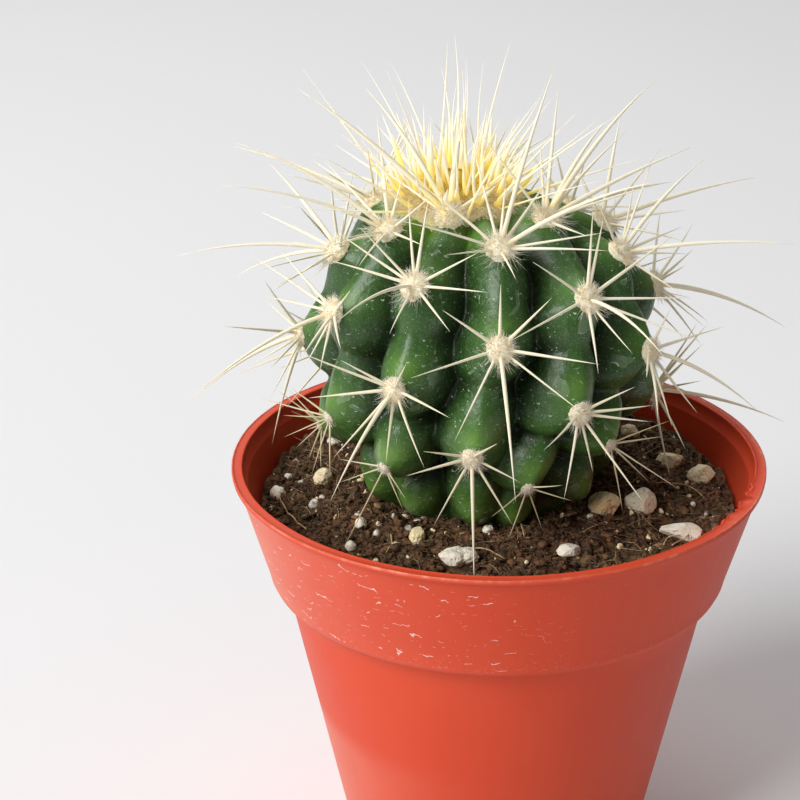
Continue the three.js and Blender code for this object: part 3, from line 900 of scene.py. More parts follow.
# ---- Pot -----------------------------------------------------------------------------------
@dataclass
class Pot:
    """The tapered nursery pot, with its collar, lip and drain holes."""

    height: float
    rim: float
    lip_width: float = 1.9
    lip_thickness: float = 0.9
    collar_depth: float = 20.1
    collar_top: float = 44.2
    collar_foot: float = 39.0
    body_top: float = 36.7
    base: float = 25.9
    wall: float = 1.2
    floor: float = 1.6
    foot_rise: float = 1.0
    drain_holes: int = 8
    drain_radius: float = 3.0
    drain_ring: float = 16.0
    steps: int = 480
    lip_zone: float = 4.0
    flash_bearing: float = 62.0
    flash_width: float = 13.0
    lime_bearing: float = -32.0
    lime_width: float = 35.0
    # Bearing and breadth of the painted sheen on the pot's left side.
    painted_sheen_bearing: float = -98.0
    painted_sheen_width: float = 50.0

    def inner(self, z: float) -> float:
        """Find the inner wall's radius inside the collar.

        Args:
            z: The height.

        Returns:
            The radius there.
        """
        top = self.rim - self.lip_width
        foot = self.collar_foot - self.wall
        return top - (top - foot) * (self.height - z) / self.collar_depth

    def outline(self) -> list[tuple[float, float]]:
        """Draw the pot's section.

        Returns:
            Radius and height of its points, from the middle underneath round to the floor.
        """
        top = self.height
        step = top - self.collar_depth
        under = top - self.lip_thickness
        mouth = self.rim - self.lip_width
        outer = [
            (0.0, 0.35), (19.5, 0.35), (20.5, 0.0), (self.base - 1.3, 0.0), (self.base - 0.4, 0.25),
            (self.base, self.foot_rise), (self.base + 0.20, 2.0),
        ]
        body = [self.lerp(outer[-1], (self.body_top, step - 0.5), k / 12) for k in range(1, 13)]
        shoulder = [
            (self.body_top + 0.25, step - 0.05), (self.body_top + 0.7, step),
            (self.collar_foot - 0.5, step), (self.collar_foot - 0.12, step + 0.15),
            (self.collar_foot, step + 0.55), (self.collar_foot + 0.28, step + 1.0),
            (self.collar_foot + 0.33, step + 1.3), (self.collar_foot + 0.36, step + 1.6),
        ]
        collar = [self.lerp(shoulder[-1], (self.collar_top, under - 0.25), k / 6) for k in range(1, 7)]
        lip = [
            (self.collar_top + 0.1, under - 0.05), (self.rim - 0.25, under),
            (self.rim - 0.05, under + 0.15), (self.rim, under + 0.4),
            (self.rim - 0.02, top - 0.16), (self.rim - 0.07, top - 0.05),
            (self.rim - 0.17, top), (self.rim - 0.30, top - 0.02), (self.rim - 0.38, top - 0.12),
            (self.rim - 0.46, top - 0.15), (mouth + 0.55, top - 0.10), (mouth + 0.45, top - 0.08),
            (mouth + 0.38, top - 0.02), (mouth + 0.26, top), (mouth + 0.10, top - 0.06),
            (mouth + 0.02, top - 0.2), (mouth, top - 0.5),
            (mouth - 0.12, top - 2.1), (mouth - 0.75, top - 2.5), (mouth - 0.80, top - 2.9),
        ]
        inside = [
            (self.inner(step + 4.0), step + 4.0), (self.inner(step + 1.2), step + 1.2),
            (self.body_top - self.wall, step - 1.0), (self.base - self.wall, self.floor + 0.6),
            (self.base - self.wall - 0.6, self.floor), (0.0, self.floor),
        ]
        return outer + body + shoulder + collar + lip + inside

    @staticmethod
    def lerp(start: tuple[float, float], end: tuple[float, float],
             part: float) -> tuple[float, float]:
        """The point part of the way from one outline point to another."""
        return (start[0] + (end[0] - start[0]) * part, start[1] + (end[1] - start[1]) * part)

    @staticmethod
    def swell(bearing: float, middle: float, width: float) -> float:
        """1 at a bearing round the pot, falling off smoothly to both sides of it."""
        return math.exp(-((bearing - middle) / width) ** 2)

    def uneven(self, bm: bmesh.types.BMesh) -> None:
        """Give the lip a moulded part's small waves, and its rough flash inside on one side.

        Args:
            bm: The pot's shape.
        """
        start = self.height - self.lip_zone
        for vert in bm.verts:
            x, y, z = vert.co
            radius = math.hypot(x, y)
            if z < start or radius < 1.0:
                continue
            out = Vector((x, y, 0.0)) / radius
            vert.co += out * 0.14 * grain(vert.co, 16.0, 3.0)
            vert.co.z += 0.16 * grain(vert.co, 22.0, 8.0) * smoothstep(z, start, self.height)
            near = self.swell(math.degrees(math.atan2(x, -y)), self.flash_bearing, self.flash_width)
            if radius < self.rim - self.lip_width + 0.6 and near > 0.1:
                ragged = 0.5 + 0.8 * grain(vert.co, 2.6, 5.0) + 1.0 * grain(vert.co, 1.1, 2.0)
                vert.co -= out * near * max(0.0, ragged)
                vert.co.z -= 0.4 * near * max(0.0, grain(vert.co, 1.7, 9.0))

    def mark(self, bm: bmesh.types.BMesh) -> None:
        """Note where dried lime, the mould's dusty seam, the lip's rubbed edge with its painted
        highlight line, and the painted sheen on the left side show.

        Args:
            bm: The pot's shape, which gets a number layer for each.
        """
        lime, seam, scuff, bleach = (
            bm.verts.layers.float.new(name) for name in ("marked", "seam", "scuff", "bleach"))
        top = self.height
        foot = top - self.collar_depth
        for vert in bm.verts:
            x, y, z = vert.co
            bearing = math.degrees(math.atan2(x, -y))
            on_collar = smoothstep(z, foot, foot + 2.0) * (1.0 - smoothstep(z, top - 3.0, top))
            limed = self.swell(bearing, self.lime_bearing, self.lime_width)
            vert[lime] = clamp(0.12 + limed) * on_collar
            outside = math.hypot(x, y) > self.inner(z) + 0.5 * self.wall
            vert[seam] = math.exp(-((z - foot - 1.3) / 0.35) ** 2) if outside else 0.0
            # The painted sheen: paler plastic painted on the outside of the left side, under the lip,
            # standing for the window's reflection.
            painted_sheen = self.swell(bearing, self.painted_sheen_bearing, self.painted_sheen_width)
            vert[bleach] = painted_sheen if outside and z < top - self.lip_thickness else 0.0
            # Along the lip's outer top edge: rubbed plastic, and partly a painted highlight line.
            edge = math.hypot(math.hypot(x, y) - self.rim + 0.2, z - top + 0.15)
            vert[scuff] = 1.0 - smoothstep(edge, 0.08, 0.30)

    def drill(self, piece: bpy.types.Object) -> None:
        """Cut the drain holes through the floor.

        Args:
            piece: The pot.
        """
        bm = bmesh.new()
        for i in range(self.drain_holes):
            angle = 2.0 * math.pi * i / self.drain_holes
            middle = Vector((math.cos(angle), math.sin(angle), 0.0)) * self.drain_ring
            bmesh.ops.create_cone(
                bm, cap_ends=True, segments=40, radius1=self.drain_radius,
                radius2=self.drain_radius, depth=4.0 * self.floor, matrix=Matrix.Translation(middle),
            )
        mesh = keep(bm, "drill")
        mesh.transform(Matrix.Scale(MM, 4))
        cutter = show("drill", mesh)
        cut = piece.modifiers.new("drain_holes", "BOOLEAN")
        cut.operation = "DIFFERENCE"
        cut.object = cutter
        with bpy.context.temp_override(object=piece, active_object=piece):
            bpy.ops.object.modifier_apply(modifier=cut.name)
        bpy.data.objects.remove(cutter)
        bpy.data.meshes.remove(mesh)

    def build(self) -> None:
        """Turn the section into the pot, dress it and drill it."""
        bm = spun(self.outline(), self.steps)
        self.uneven(bm)
        self.mark(bm)
        self.drill(place(bm, "pot_shell", PotPlastic().make(), "plastic", "pot"))


# ---- Stem ----------------------------------------------------------------------------------
Rib = tuple[tuple[float, float], ...]
PLAIN_PITCH = 34.5


def plain_rib(bearing: float, tilt: float) -> Rib:
    """A rib that nothing bends: its areoles a pitch apart, the last one closer.

    Args:
        bearing: Bearing of its first areole.
        tilt: Tilt of its first areole.

    Returns:
        Bearing and tilt of each areole.
    """
    closer, turn = 29.5, -0.13
    steps = (0.0, PLAIN_PITCH, 2.0 * PLAIN_PITCH, 2.0 * PLAIN_PITCH + closer)
    return tuple((bearing + turn * down, tilt + down) for down in steps)


@dataclass
class Areole:
    """A place where spines grow: its name, tilt and the directions out, up and right."""

    name: str
    seed: int
    tilt: float
    at: Vector
    out: Vector
    up: Vector
    right: Vector


@dataclass(frozen=True)
class Relief:
    """The skin at one place: its depth under the envelope, 1 on a crest, and its glow: lighter green
    where flesh is new near the crown, and a painted highlight above each areole and on the lower
    lobes.
    """

    depth: float
    crest: float
    glow: float


@dataclass
class StemForm:
    """The shape of the ribbed stem, as a depth under a round envelope."""

    axis_x: float = -2.3
    axis_y: float = 4.0
    lean_from: float = 100.0
    lean: float = 0.0075
    middle: float = 94.0
    radius: float = 30.5
    above: float = 26.0
    below: float = 32.0
    square_above: float = 2.3
    square_below: float = 2.1
    valley: float = 6.6
    rib_half: float = 8.4
    deepest: float = 9.0
    fade_tilt: float = 138.0
    buried_tilt: float = 150.0
    last_areole: float = 128.0
    crown_tilt: float = 22.0
    newest: str = "2.0"
    root: tuple = ((11.0, 64.5), (8.0, 58.0), (5.0, 44.0), (0.0, 42.0))
    ribs: tuple[Rib, ...] = (
        ((-70, 15), (-75, 47.5), (-87.5, 86.5), (-85, 115)),
        ((-53.5, 30), (-58.5, 68), (-59.5, 102)),
        ((-16.5, 19), (-26, 50), (-29.5, 86.5), (-36.5, 112.5)),
        ((11.5, 33.5), (2.5, 71), (-6, 104)),
        ((55.5, 25), (36.5, 58), (27, 93), (12.5, 116.5)),
        ((80, 17), (71.5, 49.5), (59, 83.5), (41.5, 106.5)),
        ((94.5, 41.5), (98.5, 74.5), (90, 106)),
        plain_rib(139, 14), plain_rib(172.5, 31), plain_rib(210.5, 15), plain_rib(243.5, 32),
    )

    def envelope(self, tilt: float) -> tuple[float, float]:
        """The size of the envelope.

        Args:
            tilt: The tilt, in radians.

        Returns:
            Its radius and height there.
        """
        high = math.cos(tilt) > 0
        square = 2.0 / (self.square_above if high else self.square_below)
        rise = self.above if high else -self.below
        return (
            self.radius * max(0.0, math.sin(tilt)) ** square,
            self.middle + rise * abs(math.cos(tilt)) ** square,
        )

    def axis(self, z: float) -> float:
        """X of the stem's axis, which leans a little to the left near the top."""
        return self.axis_x - self.lean * max(0.0, z - self.lean_from) ** 2

    def envelope_point(self, bearing: float, tilt: float) -> tuple[Vector, Vector, float]:
        """Find a point of the envelope.

        Args:
            bearing: Its bearing, in radians.
            tilt: Its tilt, in radians.

        Returns:
            The point, the direction out of the envelope, and its radius there.
        """
        r, z = self.envelope(tilt)
        nudge = 1e-4
        r0, z0 = self.envelope(tilt - nudge)
        r1, z1 = self.envelope(tilt + nudge)
        slope = math.atan2(z1 - z0, r1 - r0)
        east, north = math.sin(bearing), -math.cos(bearing)
        out = Vector((-math.sin(slope) * east, -math.sin(slope) * north, math.cos(slope)))
        return Vector((self.axis(z) + r * east, self.axis_y + r * north, z)), out, r

    def areole_count(self, rib: Rib, tilt: float) -> float:
        """Count how far down a rib a tilt lies, in areoles.

        Args:
            rib: The rib.
            tilt: The tilt, in degrees.

        Returns:
            The number of the areole above it, plus the part of the step to the next one.
        """
        if tilt < rib[0][1]:
            return (tilt - rib[0][1]) / PLAIN_PITCH
        low = next((k for k, (_, areole) in enumerate(rib) if areole > tilt), len(rib) - 1)
        above = rib[low - 1][1]
        return low - 1 + (tilt - above) / (rib[low][1] - above)

    def rib_bearing(self, rib: Rib, tilt: float) -> float:
        """Follow a rib's crest.

        Args:
            rib: The rib.
            tilt: The tilt, in radians.

        Returns:
            The crest's bearing there, in radians.
        """
        count = clamp(self.areole_count(rib, math.degrees(tilt)), 0.0, len(rib) - 1.0)
        above = min(int(count), len(rib) - 2)
        start, end = rib[above][0], rib[above + 1][0]
        return math.radians(start + (end - start) * (count - above))

    def relief(self, bearing: float, tilt: float) -> "Relief":
        """The skin's shape under the envelope.

        Args:
            bearing: The bearing, in radians.
            tilt: The tilt, in radians.

        Returns:
            Its depth, how near it is to a crest, and its glow: new flesh near the crown, and a painted
            highlight above each areole and on the lower lobes.
        """
        r, _ = self.envelope(tilt)
        degrees = math.degrees(tilt)
        age = clamp((degrees - 45.0) / 65.0)
        size = clamp(r / 27.0, 0.1, 1.0)
        depth = self.deepest
        glow = 0.0
        crest = 0.0
        for rib in self.ribs:
            turn = bearing - self.rib_bearing(rib, tilt) + math.pi
            side = (turn - 2.0 * math.pi * math.floor(turn / (2.0 * math.pi)) - math.pi) * r
            if abs(side) > 2.4 * self.rib_half * size:
                continue
            count = self.areole_count(rib, degrees)
            part = count - math.floor(count)
            nearest = part if part < 0.5 else part - 1.0
            along = math.radians(nearest * PLAIN_PITCH) * self.radius * max(size, 0.5)
            dip = math.sin(math.pi * part) ** 2
            crease = age * math.exp(-((part - 0.46) / 0.13) ** 2)
            sunk = (0.5 + 0.9 * age) * dip + 2.4 * math.sqrt(age) * crease
            half = self.rib_half * size * (1.0 - 0.1 * dip - 0.16 * crease)
            across = abs(side) / half
            flank = self.valley * (0.3 * across ** 1.15 + 0.7 * across ** 2.3)
            nose = 0.9 * (1.0 - math.exp(-(side ** 2 + along ** 2) / 3.4 ** 2))
            depth = self.smooth_min(depth, size * (sunk + flank + nose), 0.9 * size)
            crest = max(crest, 1.0 - across - 0.5 * crease)
            # glow: a painted highlight just above each areole and on the outer faces of the lower
            # lobes, plus the lighter green of new flesh near the crown.
            above = (along + 2.9) / 2.6
            glow = max(glow, math.exp(-(side / 3.4) ** 2 - above ** 2))
        young = 1.0 - smoothstep(degrees, 18.0, 34.0)
        low = smoothstep(degrees, 84.0, 112.0)
        glow = clamp(glow * (0.7 + 0.2 * age) + 0.75 * young + 0.22 * low * clamp(1.0 - depth / 5.0))
        faded = 1.0 - smoothstep(degrees, self.fade_tilt, self.buried_tilt)
        return Relief(depth * faded, clamp(crest), glow)

    @staticmethod
    def smooth_min(a: float, b: float, blend: float) -> float:
        """The smaller of two values, rounded where they meet."""
        h = clamp(0.5 + 0.5 * (b - a) / blend)
        return b * (1.0 - h) + a * h - blend * h * (1.0 - h)

    def reach(self, bearing: float, z: float) -> float:
        """Find the skin's distance from the stem's axis.

        Args:
            bearing: The bearing, in radians.
            z: A height under the stem's middle.

        Returns:
            The distance there.
        """
        share = clamp((self.middle - z) / self.below)
        tilt = math.pi - math.acos(share ** (self.square_below / 2.0))
        r, _ = self.envelope(tilt)
        return r - self.relief(bearing, tilt).depth

    def areoles(self) -> list[Areole]:
        """List every areole that shows, from the newest at the wool's edge down to the soil.

        Returns:
            The areoles.
        """
        found = []
        for i, rib in enumerate(self.ribs):
            for k, (turn, tilt) in enumerate(rib):
                name = f"{i}.{k}"
                if tilt >= self.last_areole or (tilt <= self.crown_tilt and name != self.newest):
                    continue
                bearing = math.radians(turn)
                at, out, _ = self.envelope_point(bearing, math.radians(tilt))
                right = Vector((math.cos(bearing), math.sin(bearing), 0.0))
                seed = 100 * i + 10 * k
                found.append(Areole(name, seed, tilt, at, out, out.cross(right), right))
        return found


@dataclass
class StemBody:
    """The green ribbed body with its buried root."""

    form: StemForm
    around: int = 352
    down: int = 168

    def root_point(self, bearing: float, part: float) -> Vector:
        """Find a point of the buried root.

        Args:
            bearing: Its bearing, in radians.
            part: How far it is from the body to the root's tip, from 0 to 1.

        Returns:
            The point.
        """
        r, z = self.form.envelope(math.radians(self.form.buried_tilt))
        rings = ((r, z), *self.form.root)
        spot = part * (len(rings) - 1)
        i = min(int(spot), len(rings) - 2)
        (r0, z0), (r1, z1) = rings[i], rings[i + 1]
        radius = r0 + (r1 - r0) * (spot - i)
        return Vector((
            self.form.axis_x + radius * math.sin(bearing),
            self.form.axis_y - radius * math.cos(bearing),
            z0 + (z1 - z0) * (spot - i),
        ))

    def build(self) -> None:
        """Shape a sphere's points into the ribbed body and dress it."""
        form = self.form
        bm = bmesh.new()
        bmesh.ops.create_uvsphere(bm, u_segments=self.around, v_segments=self.down, radius=1.0)
        crest_layer = bm.verts.layers.float.new("crest")
        glow_layer = bm.verts.layers.float.new("glow")
        buried = math.radians(form.buried_tilt)
        for vert in bm.verts:
            x, y, z = vert.co
            tilt = clamp(math.acos(clamp(z, -1.0, 1.0)), 1e-3, math.pi)
            bearing = math.atan2(x, -y)
            if tilt > buried:
                vert.co = self.root_point(bearing, (tilt - buried) / (math.pi - buried))
                continue
            at, out, r = form.envelope_point(bearing, tilt)
            relief = form.relief(bearing, tilt)
            point = at - out * relief.depth
            lumps = 0.20 * grain(point, 5.5, 2.0) + 0.07 * grain(point, 2.0, 6.0)
            vert.co = point + out * lumps * clamp(r / 20.0)
            vert[crest_layer] = relief.crest
            vert[glow_layer] = relief.glow
        bmesh.ops.recalc_face_normals(bm, faces=bm.faces)
        place(bm, "stem_body", CactusSkin().make(), "cactus_skin", "stem")


# ---- Soil and what lies in it --------------------------------------------------------------
@dataclass(frozen=True)
class Pebble:
    """A pebble: middle in plan, size, turn in degrees and kind.

    It may be three-lobed, have a groove across it, or be broken into flat facets.
    """

    x: float
    y: float
    size: tuple[float, float, float]
    turn: float
    kind: StoneKind
    lobes: float = 0.0
    groove: float = 0.0
    facets: int = 4
    flatness: float = 0.90

    def shape(self, p: Vector, index: int, lumps: float) -> Vector:
        """Where a point of a unit ball goes on the pebble, before it is stretched to its size.

        Args:
            p: The point.
            index: The pebble's number, which seeds its form.
            lumps: How lumpy it is.

        Returns:
            The point's new place.
        """
        dents = math.sin(2.1 * p.x + index) * math.cos(2.7 * p.y + 2 * index)
        bulges = math.sin(2.3 * p.z + 3 * index)
        rough = 0.15 * grain(p, 0.75, index + 1.0) + 0.07 * grain(p, 0.25, index + 3.0)
        lobed = self.lobes * math.cos(3.0 * math.atan2(p.y, p.x) + 0.9) * (1.0 - abs(p.z))
        grooved = self.groove * math.exp(-((p.x - 0.25) / 0.22) ** 2)
        point = p * (1.0 + lumps * (dents + bulges) + rough + lobed - grooved)
        for i in range(self.facets):
            seed = 17.0 * index + i
            way = Vector((draw(seed) - 0.5, draw(seed + 0.3) - 0.5, draw(seed + 0.6) - 0.35))
            way.normalize()
            over = point.dot(way) - self.flatness
            if over > 0.0:
                point -= way * over * 0.9
        return point


PEBBLES = (
    Pebble(-7.3, -23.6, (6.2, 4.2, 3.0), 5, StoneKind.WHITE, groove=0.12, facets=2),
    Pebble(17.2, -8.8, (5.4, 4.6, 4.4), 20, StoneKind.CREAM, lobes=0.17, facets=2),
    Pebble(23.8, -7.4, (5.0, 5.2, 5.4), 70, StoneKind.GREY, lobes=0.06, facets=5, flatness=0.86),
    Pebble(29.5, -15.0, (6.6, 4.4, 3.2), -12, StoneKind.WHITE, facets=11, flatness=0.70),
    Pebble(31.0, 9.9, (5.2, 4.4, 3.8), 30, StoneKind.TAN, lobes=0.08, facets=6, flatness=0.82),
    Pebble(36.0, 5.1, (4.6, 4.4, 3.6), -25, StoneKind.TAN, lobes=0.10, facets=6, flatness=0.82),
    Pebble(-29.8, 3.1, (3.4, 3.2, 3.2), 0, StoneKind.TAN),
    Pebble(-37.4, 0.3, (2.4, 3.4, 2.8), 15, StoneKind.WHITE),
    Pebble(-28.1, 18.1, (3.2, 2.8, 2.8), 40, StoneKind.WHITE),
    Pebble(25.1, 20.3, (3.2, 3.0, 2.8), -40, StoneKind.TAN),
    Pebble(-13.8, -17.6, (3.6, 3.0, 2.8), 60, StoneKind.CREAM, facets=6, flatness=0.80),
    Pebble(10.4, -21.5, (3.8, 2.4, 2.2), 8, StoneKind.WHITE, facets=5, flatness=0.82),
    Pebble(-17.0, 31.0, (4.4, 3.6, 3.4), 25, StoneKind.CREAM, facets=6, flatness=0.84),
    Pebble(9.0, 35.0, (3.6, 3.0, 3.0), -15, StoneKind.WHITE, facets=6, flatness=0.84),
)

# Grains of perlite and pale grit that show between the pebbles: middle in plan and breadth.
GRAINS = (
    (-15.8, -12.4, 1.5), (-15.3, -15.3, 1.5), (-13.8, -13.0, 1.3), (-12.4, -11.4, 2.6),
    (-17.4, -18.4, 1.3), (-20.4, -14.2, 1.6), (-23.0, -13.2, 2.2), (-23.5, -10.3, 1.5),
    (-31.1, -3.6, 1.9), (-3.9, -16.4, 1.3), (-2.3, -16.9, 2.0), (-1.8, -13.9, 1.0),
    (-24.6, -18.4, 2.0), (-33.7, 5.5, 1.4), (-36.0, 6.0, 1.6), (-17.6, -10.8, 1.2),
    (-29.8, -1.3, 1.2), (7.7, -14.0, 0.8), (32.8, -5.7, 0.9), (34.7, -7.7, 1.0),
    (14.7, -12.5, 1.2), (35.4, -10.4, 0.8), (-9.9, -15.2, 0.8), (-12.8, -19.8, 1.0),
    (20.0, 24.0, 1.6), (-6.0, 36.5, 1.4), (-30.0, 24.0, 1.7), (33.0, 20.0, 1.3),
    (-35.0, 13.0, 1.2), (2.0, 38.0, 1.8),
)

# Long pale roots that show in front and on both sides of the stem: their routes in plan.
ROOTS = (
    ((-37.4, -0.4), (-36.7, -3.3), (-35.4, -7.0), (-33.5, -11.7), (-31.9, -13.2)),
    ((-4.6, -21.3), (-2.9, -22.1), (-1.4, -23.4), (0.0, -24.1)),
    ((27.3, 1.0), (30.2, 1.3), (33.0, 0.1), (35.1, -3.5)),
    ((25.8, -19.8), (26.9, -17.3), (29.0, -16.8)),
    ((27.3, -19.2), (29.5, -17.8), (31.5, -15.2)),
    ((-18.1, -16.9), (-17.9, -19.1), (-18.9, -21.5)),
    ((2.0, -12.1), (3.1, -15.5), (3.4, -19.3)),
    ((12.0, 31.0), (16.0, 32.5), (20.5, 31.0), (23.0, 28.0)),
)


@dataclass
class Soil:
    """The peat that fills the pot, with its crumbs, grit, fibres and pebbles."""

    pot: Pot
    form: StemForm
    front_depth: float = 9.8
    back_depth: float = 5.6
    mound_height: float = 2.2
    mound_radius: float = 20.0
    mound_spread: float = 8.0
    relief: float = 0.45
    clearance: float = 0.35
    stem_zone: float = 24.0
    stone_shows: float = 0.22
    stone_lumps: float = 0.09
    rings: int = 150
    steps: int = 320
    seed: int = 11
    few: int = 1000
    crumbs: int = 9000
    bark: int = 700
    grit: int = 300
    straw: int = 340
    clods: int = 260
    fibres: int = 4200
    pale_fibres: int = 380

    def top(self, x: float, y: float) -> float:
        """Find the smooth soil's height: lower in front, heaped against the stem, a little uneven.

        Args:
            x: Place in plan.
            y: Place in plan.

        Returns:
            The height there.
        """
        back = (y + 40.0) / 80.0
        depth = self.front_depth + (self.back_depth - self.front_depth) * back
        apart = math.hypot(x - self.form.axis_x, y - self.form.axis_y) - self.mound_radius
        heap = self.mound_height * math.exp(-(apart / self.mound_spread) ** 2)
        waves = math.sin(0.55 * x + 1.0) * math.cos(0.6 * y) + 0.5 * math.sin(1.3 * x + 0.9 * y)
        return self.pot.height - depth + heap + self.relief * waves

    def crumbly(self, x: float, y: float) -> float:
        """Find how far the crumbs stand over the smooth soil.

        Args:
            x: Place in plan.
            y: Place in plan.

        Returns:
            Their height there.
        """
        point = Vector((x, y, 0.0))
        coarse = 0.75 * grain(point, 3.6, 1.0) + 0.62 * grain(point, 1.3, 4.0)
        return coarse + 0.34 * grain(point, 0.6, 7.0)

    @property
    def edge(self) -> float:
        """Radius of the soil's top."""
        return self.pot.inner(self.pot.height - self.front_depth) - self.clearance

    def build_bed(self) -> None:
        """Spin the fill from its section, raise its top and dress it."""
        pot = self.pot
        step = pot.height - pot.collar_depth
        section = [(self.edge * i / self.rings, pot.height) for i in range(self.rings + 1)]
        section += [
            (pot.inner(step + 1.5) - self.clearance, step + 1.5),
            (pot.body_top - pot.wall - self.clearance, step - 1.0),
            (pot.base - pot.wall - self.clearance, pot.floor + self.clearance),
            (0.0, pot.floor + self.clearance),
        ]
        bm = spun(section, self.steps)
        for vert in bm.verts:
            if vert.co.z > pot.height - 0.5:
                x, y = vert.co.x, vert.co.y
                vert.co.z = self.top(x, y) + self.crumbly(x, y)
        place(bm, "soil_bed", Peat().make(), "peat", "soil")

    def is_free(self, x: float, y: float, room: float) -> bool:
        """Whether a small thing can lie here, clear of the wall, the stem and the pebbles.

        Args:
            x: Place in plan.
            y: Place in plan.
            room: How much room it needs round its middle.

        Returns:
            True if it can.
        """
        if math.hypot(x, y) > self.edge - room:
            return False
        dx, dy = x - self.form.axis_x, y - self.form.axis_y
        apart = math.hypot(dx, dy)
        if apart < self.stem_zone:
            skin = self.form.reach(math.atan2(dx, -dy), self.top(x, y))
            if apart < skin + 0.3 * room:
                return False
        return all(
            math.hypot(x - p.x, y - p.y) > 0.42 * max(p.size[0], p.size[1]) for p in PEBBLES)

    def scatter(self, count: int, seed: int,
                room: float) -> Iterable[tuple[float, float, random.Random]]:
        """Find free spots all over the soil.

        Args:
            count: How many.
            seed: The seed of the draws.
            room: How much room each needs round its middle.

        Returns:
            The place in plan of each, and the source of further draws.
        """
        rng = random.Random(seed)
        placed = 0
        while placed < count:
            radius = self.edge * math.sqrt(rng.random())
            angle = 2.0 * math.pi * rng.random()
            x, y = radius * math.cos(angle), radius * math.sin(angle)
            if self.is_free(x, y, room):
                placed += 1
                yield x, y, rng

    def build_crumbs(self, name: str, count: int, seed: int, sizes: tuple[float, float],
                     flat: float, sunk: float, finish: bpy.types.Material) -> None:
        """Strew small broken lumps over the soil.

        Args:
            name: The piece's name.
            count: How many lumps.
            seed: The seed of their places.
            sizes: Smallest and largest breadth.
            flat: Height of a lump as a share of its breadth.
            sunk: How far a lump sits in the soil, as a share of its height.
            finish: The material.
        """
        heap = Heap(name)
        for x, y, rng in self.scatter(count, seed, 0.5 * sizes[1]):
            breadth = sizes[0] + (sizes[1] - sizes[0]) * rng.random() ** 3.2
            width = breadth * rng.uniform(0.3, 0.8)
            shape = Matrix.Diagonal((breadth, width, breadth * flat)).to_4x4()
            heading = Matrix.Rotation(rng.uniform(0, 6.28), 4, "Z")
            turn = heading @ Matrix.Rotation(rng.gauss(0, 0.35), 4, "X")
            z = self.top(x, y) + self.crumbly(x, y) + breadth * flat * (0.5 - sunk)
            whole = Matrix.Translation((x, y, z)) @ turn @ shape
            for vert in heap.copy(ball_blank(2 if count < self.few else 1)):
                vert.co = whole @ (vert.co * 0.5)
                vert.co += 0.30 * breadth * noise.noise_vector(vert.co * (2.1 / breadth))
        heap.finish(finish, "peat")

    def build_grains(self, finish: bpy.types.Material) -> None:
        """Set the pale grains that show between the pebbles.

        Args:
            finish: Their material.
        """
        heap = Heap("pale_grains")
        for index, (x, y, breadth) in enumerate(GRAINS):
            flat = 0.65 + 0.3 * draw(index)
            turn = Matrix.Rotation(6.28 * draw(index + 0.3), 4, "Z")
            width = breadth * (0.65 + 0.3 * draw(index + 0.6))
            shape = Matrix.Diagonal((breadth, width, breadth * flat)).to_4x4()
            z = self.top(x, y) + self.crumbly(x, y) + 0.22 * breadth
            whole = Matrix.Translation((x, y, z)) @ turn @ shape
            for vert in heap.copy(ball_blank(4)):
                p = vert.co.copy()
                lumps = 1.0 + 0.22 * grain(p, 0.8, index) + 0.08 * grain(p, 0.3, index + 2.0)
                vert.co = whole @ (p * 0.5 * lumps)
        heap.finish(finish, "pumice")

    def build_fibres(self, name: str, count: int, seed: int, length: tuple[float, float],
                     radius: float, finish: bpy.types.Material) -> None:
        """Strew short curled fibres over the soil.

        Args:
            name: The piece's name.
            count: How many fibres.
            seed: The seed of their places.
            length: Shortest and longest.
            radius: About how thick they are.
            finish: The material.
        """
        heap = Heap(name, NEEDLE_LAYERS)
        for x, y, rng in self.scatter(count, seed, 1.0):
            heading = rng.uniform(0, 2.0 * math.pi)
            way = Vector((math.cos(heading), math.sin(heading), rng.gauss(0.10, 0.22))).normalized()
            reach = rng.uniform(*length)
            end = Vector((x, y, 0.0)) + way * reach
            if not self.is_free(end.x, end.y, 0.6):
                continue
            start = Vector((x, y, self.top(x, y) + self.crumbly(x, y) + rng.uniform(0.0, 0.5)))
            grow_needle(heap, Needle(
                start, way, reach, radius * rng.uniform(0.6, 1.4), bend=rng.uniform(-0.24, 0.24),
                aside=Vector((-way.y, way.x, rng.uniform(-0.3, 0.6))).normalized(), sides=3, joints=4,
                blunt=0.35,
            ))
        heap.finish(finish, "peat")

    def build_roots(self) -> None:
        """Lay the few long pale roots."""
        heap = Heap("loose_roots", NEEDLE_LAYERS)
        for route in ROOTS:
            spots = [Vector((x, y, self.top(x, y) + 1.0)) for x, y in route]
            for a, b in zip(spots, spots[1:]):
                way = b - a
                grow_needle(heap, Needle(
                    a, way.normalized(), way.length * 1.05, 0.13, bend=0.06, aside=UP, sides=6,
                    joints=6, blunt=0.25,
                ))
        heap.finish(DryRoot("pale_root", (0.66, 0.47, 0.24), (0.38, 0.23, 0.11)).make(), "peat")

    def build_pebbles(self, finishes: dict[StoneKind, bpy.types.Material]) -> None:
        """Shape each pebble from a ball with lumps, lobes, a groove or facets.

        Args:
            finishes: The material of each kind.
        """
        for index, stone in enumerate(PEBBLES):
            bm = bmesh.new()
            bmesh.ops.create_icosphere(bm, subdivisions=6, radius=1.0)
            for vert in bm.verts:
                vert.co = stone.shape(vert.co.copy(), index, self.stone_lumps)
            length, width, height = stone.size
            middle = (stone.x, stone.y, self.top(stone.x, stone.y) + self.stone_shows * height)
            turn = Matrix.Rotation(math.radians(stone.turn), 4, "Z")
            shape = Matrix.Diagonal((length / 2, width / 2, height / 2)).to_4x4()
            bmesh.ops.transform(bm, matrix=Matrix.Translation(middle) @ turn @ shape, verts=bm.verts)
            number = f"{index + 1:02d}"
            place(bm, f"pebble_{number}", finishes[stone.kind], "pumice", f"stone_{number}")

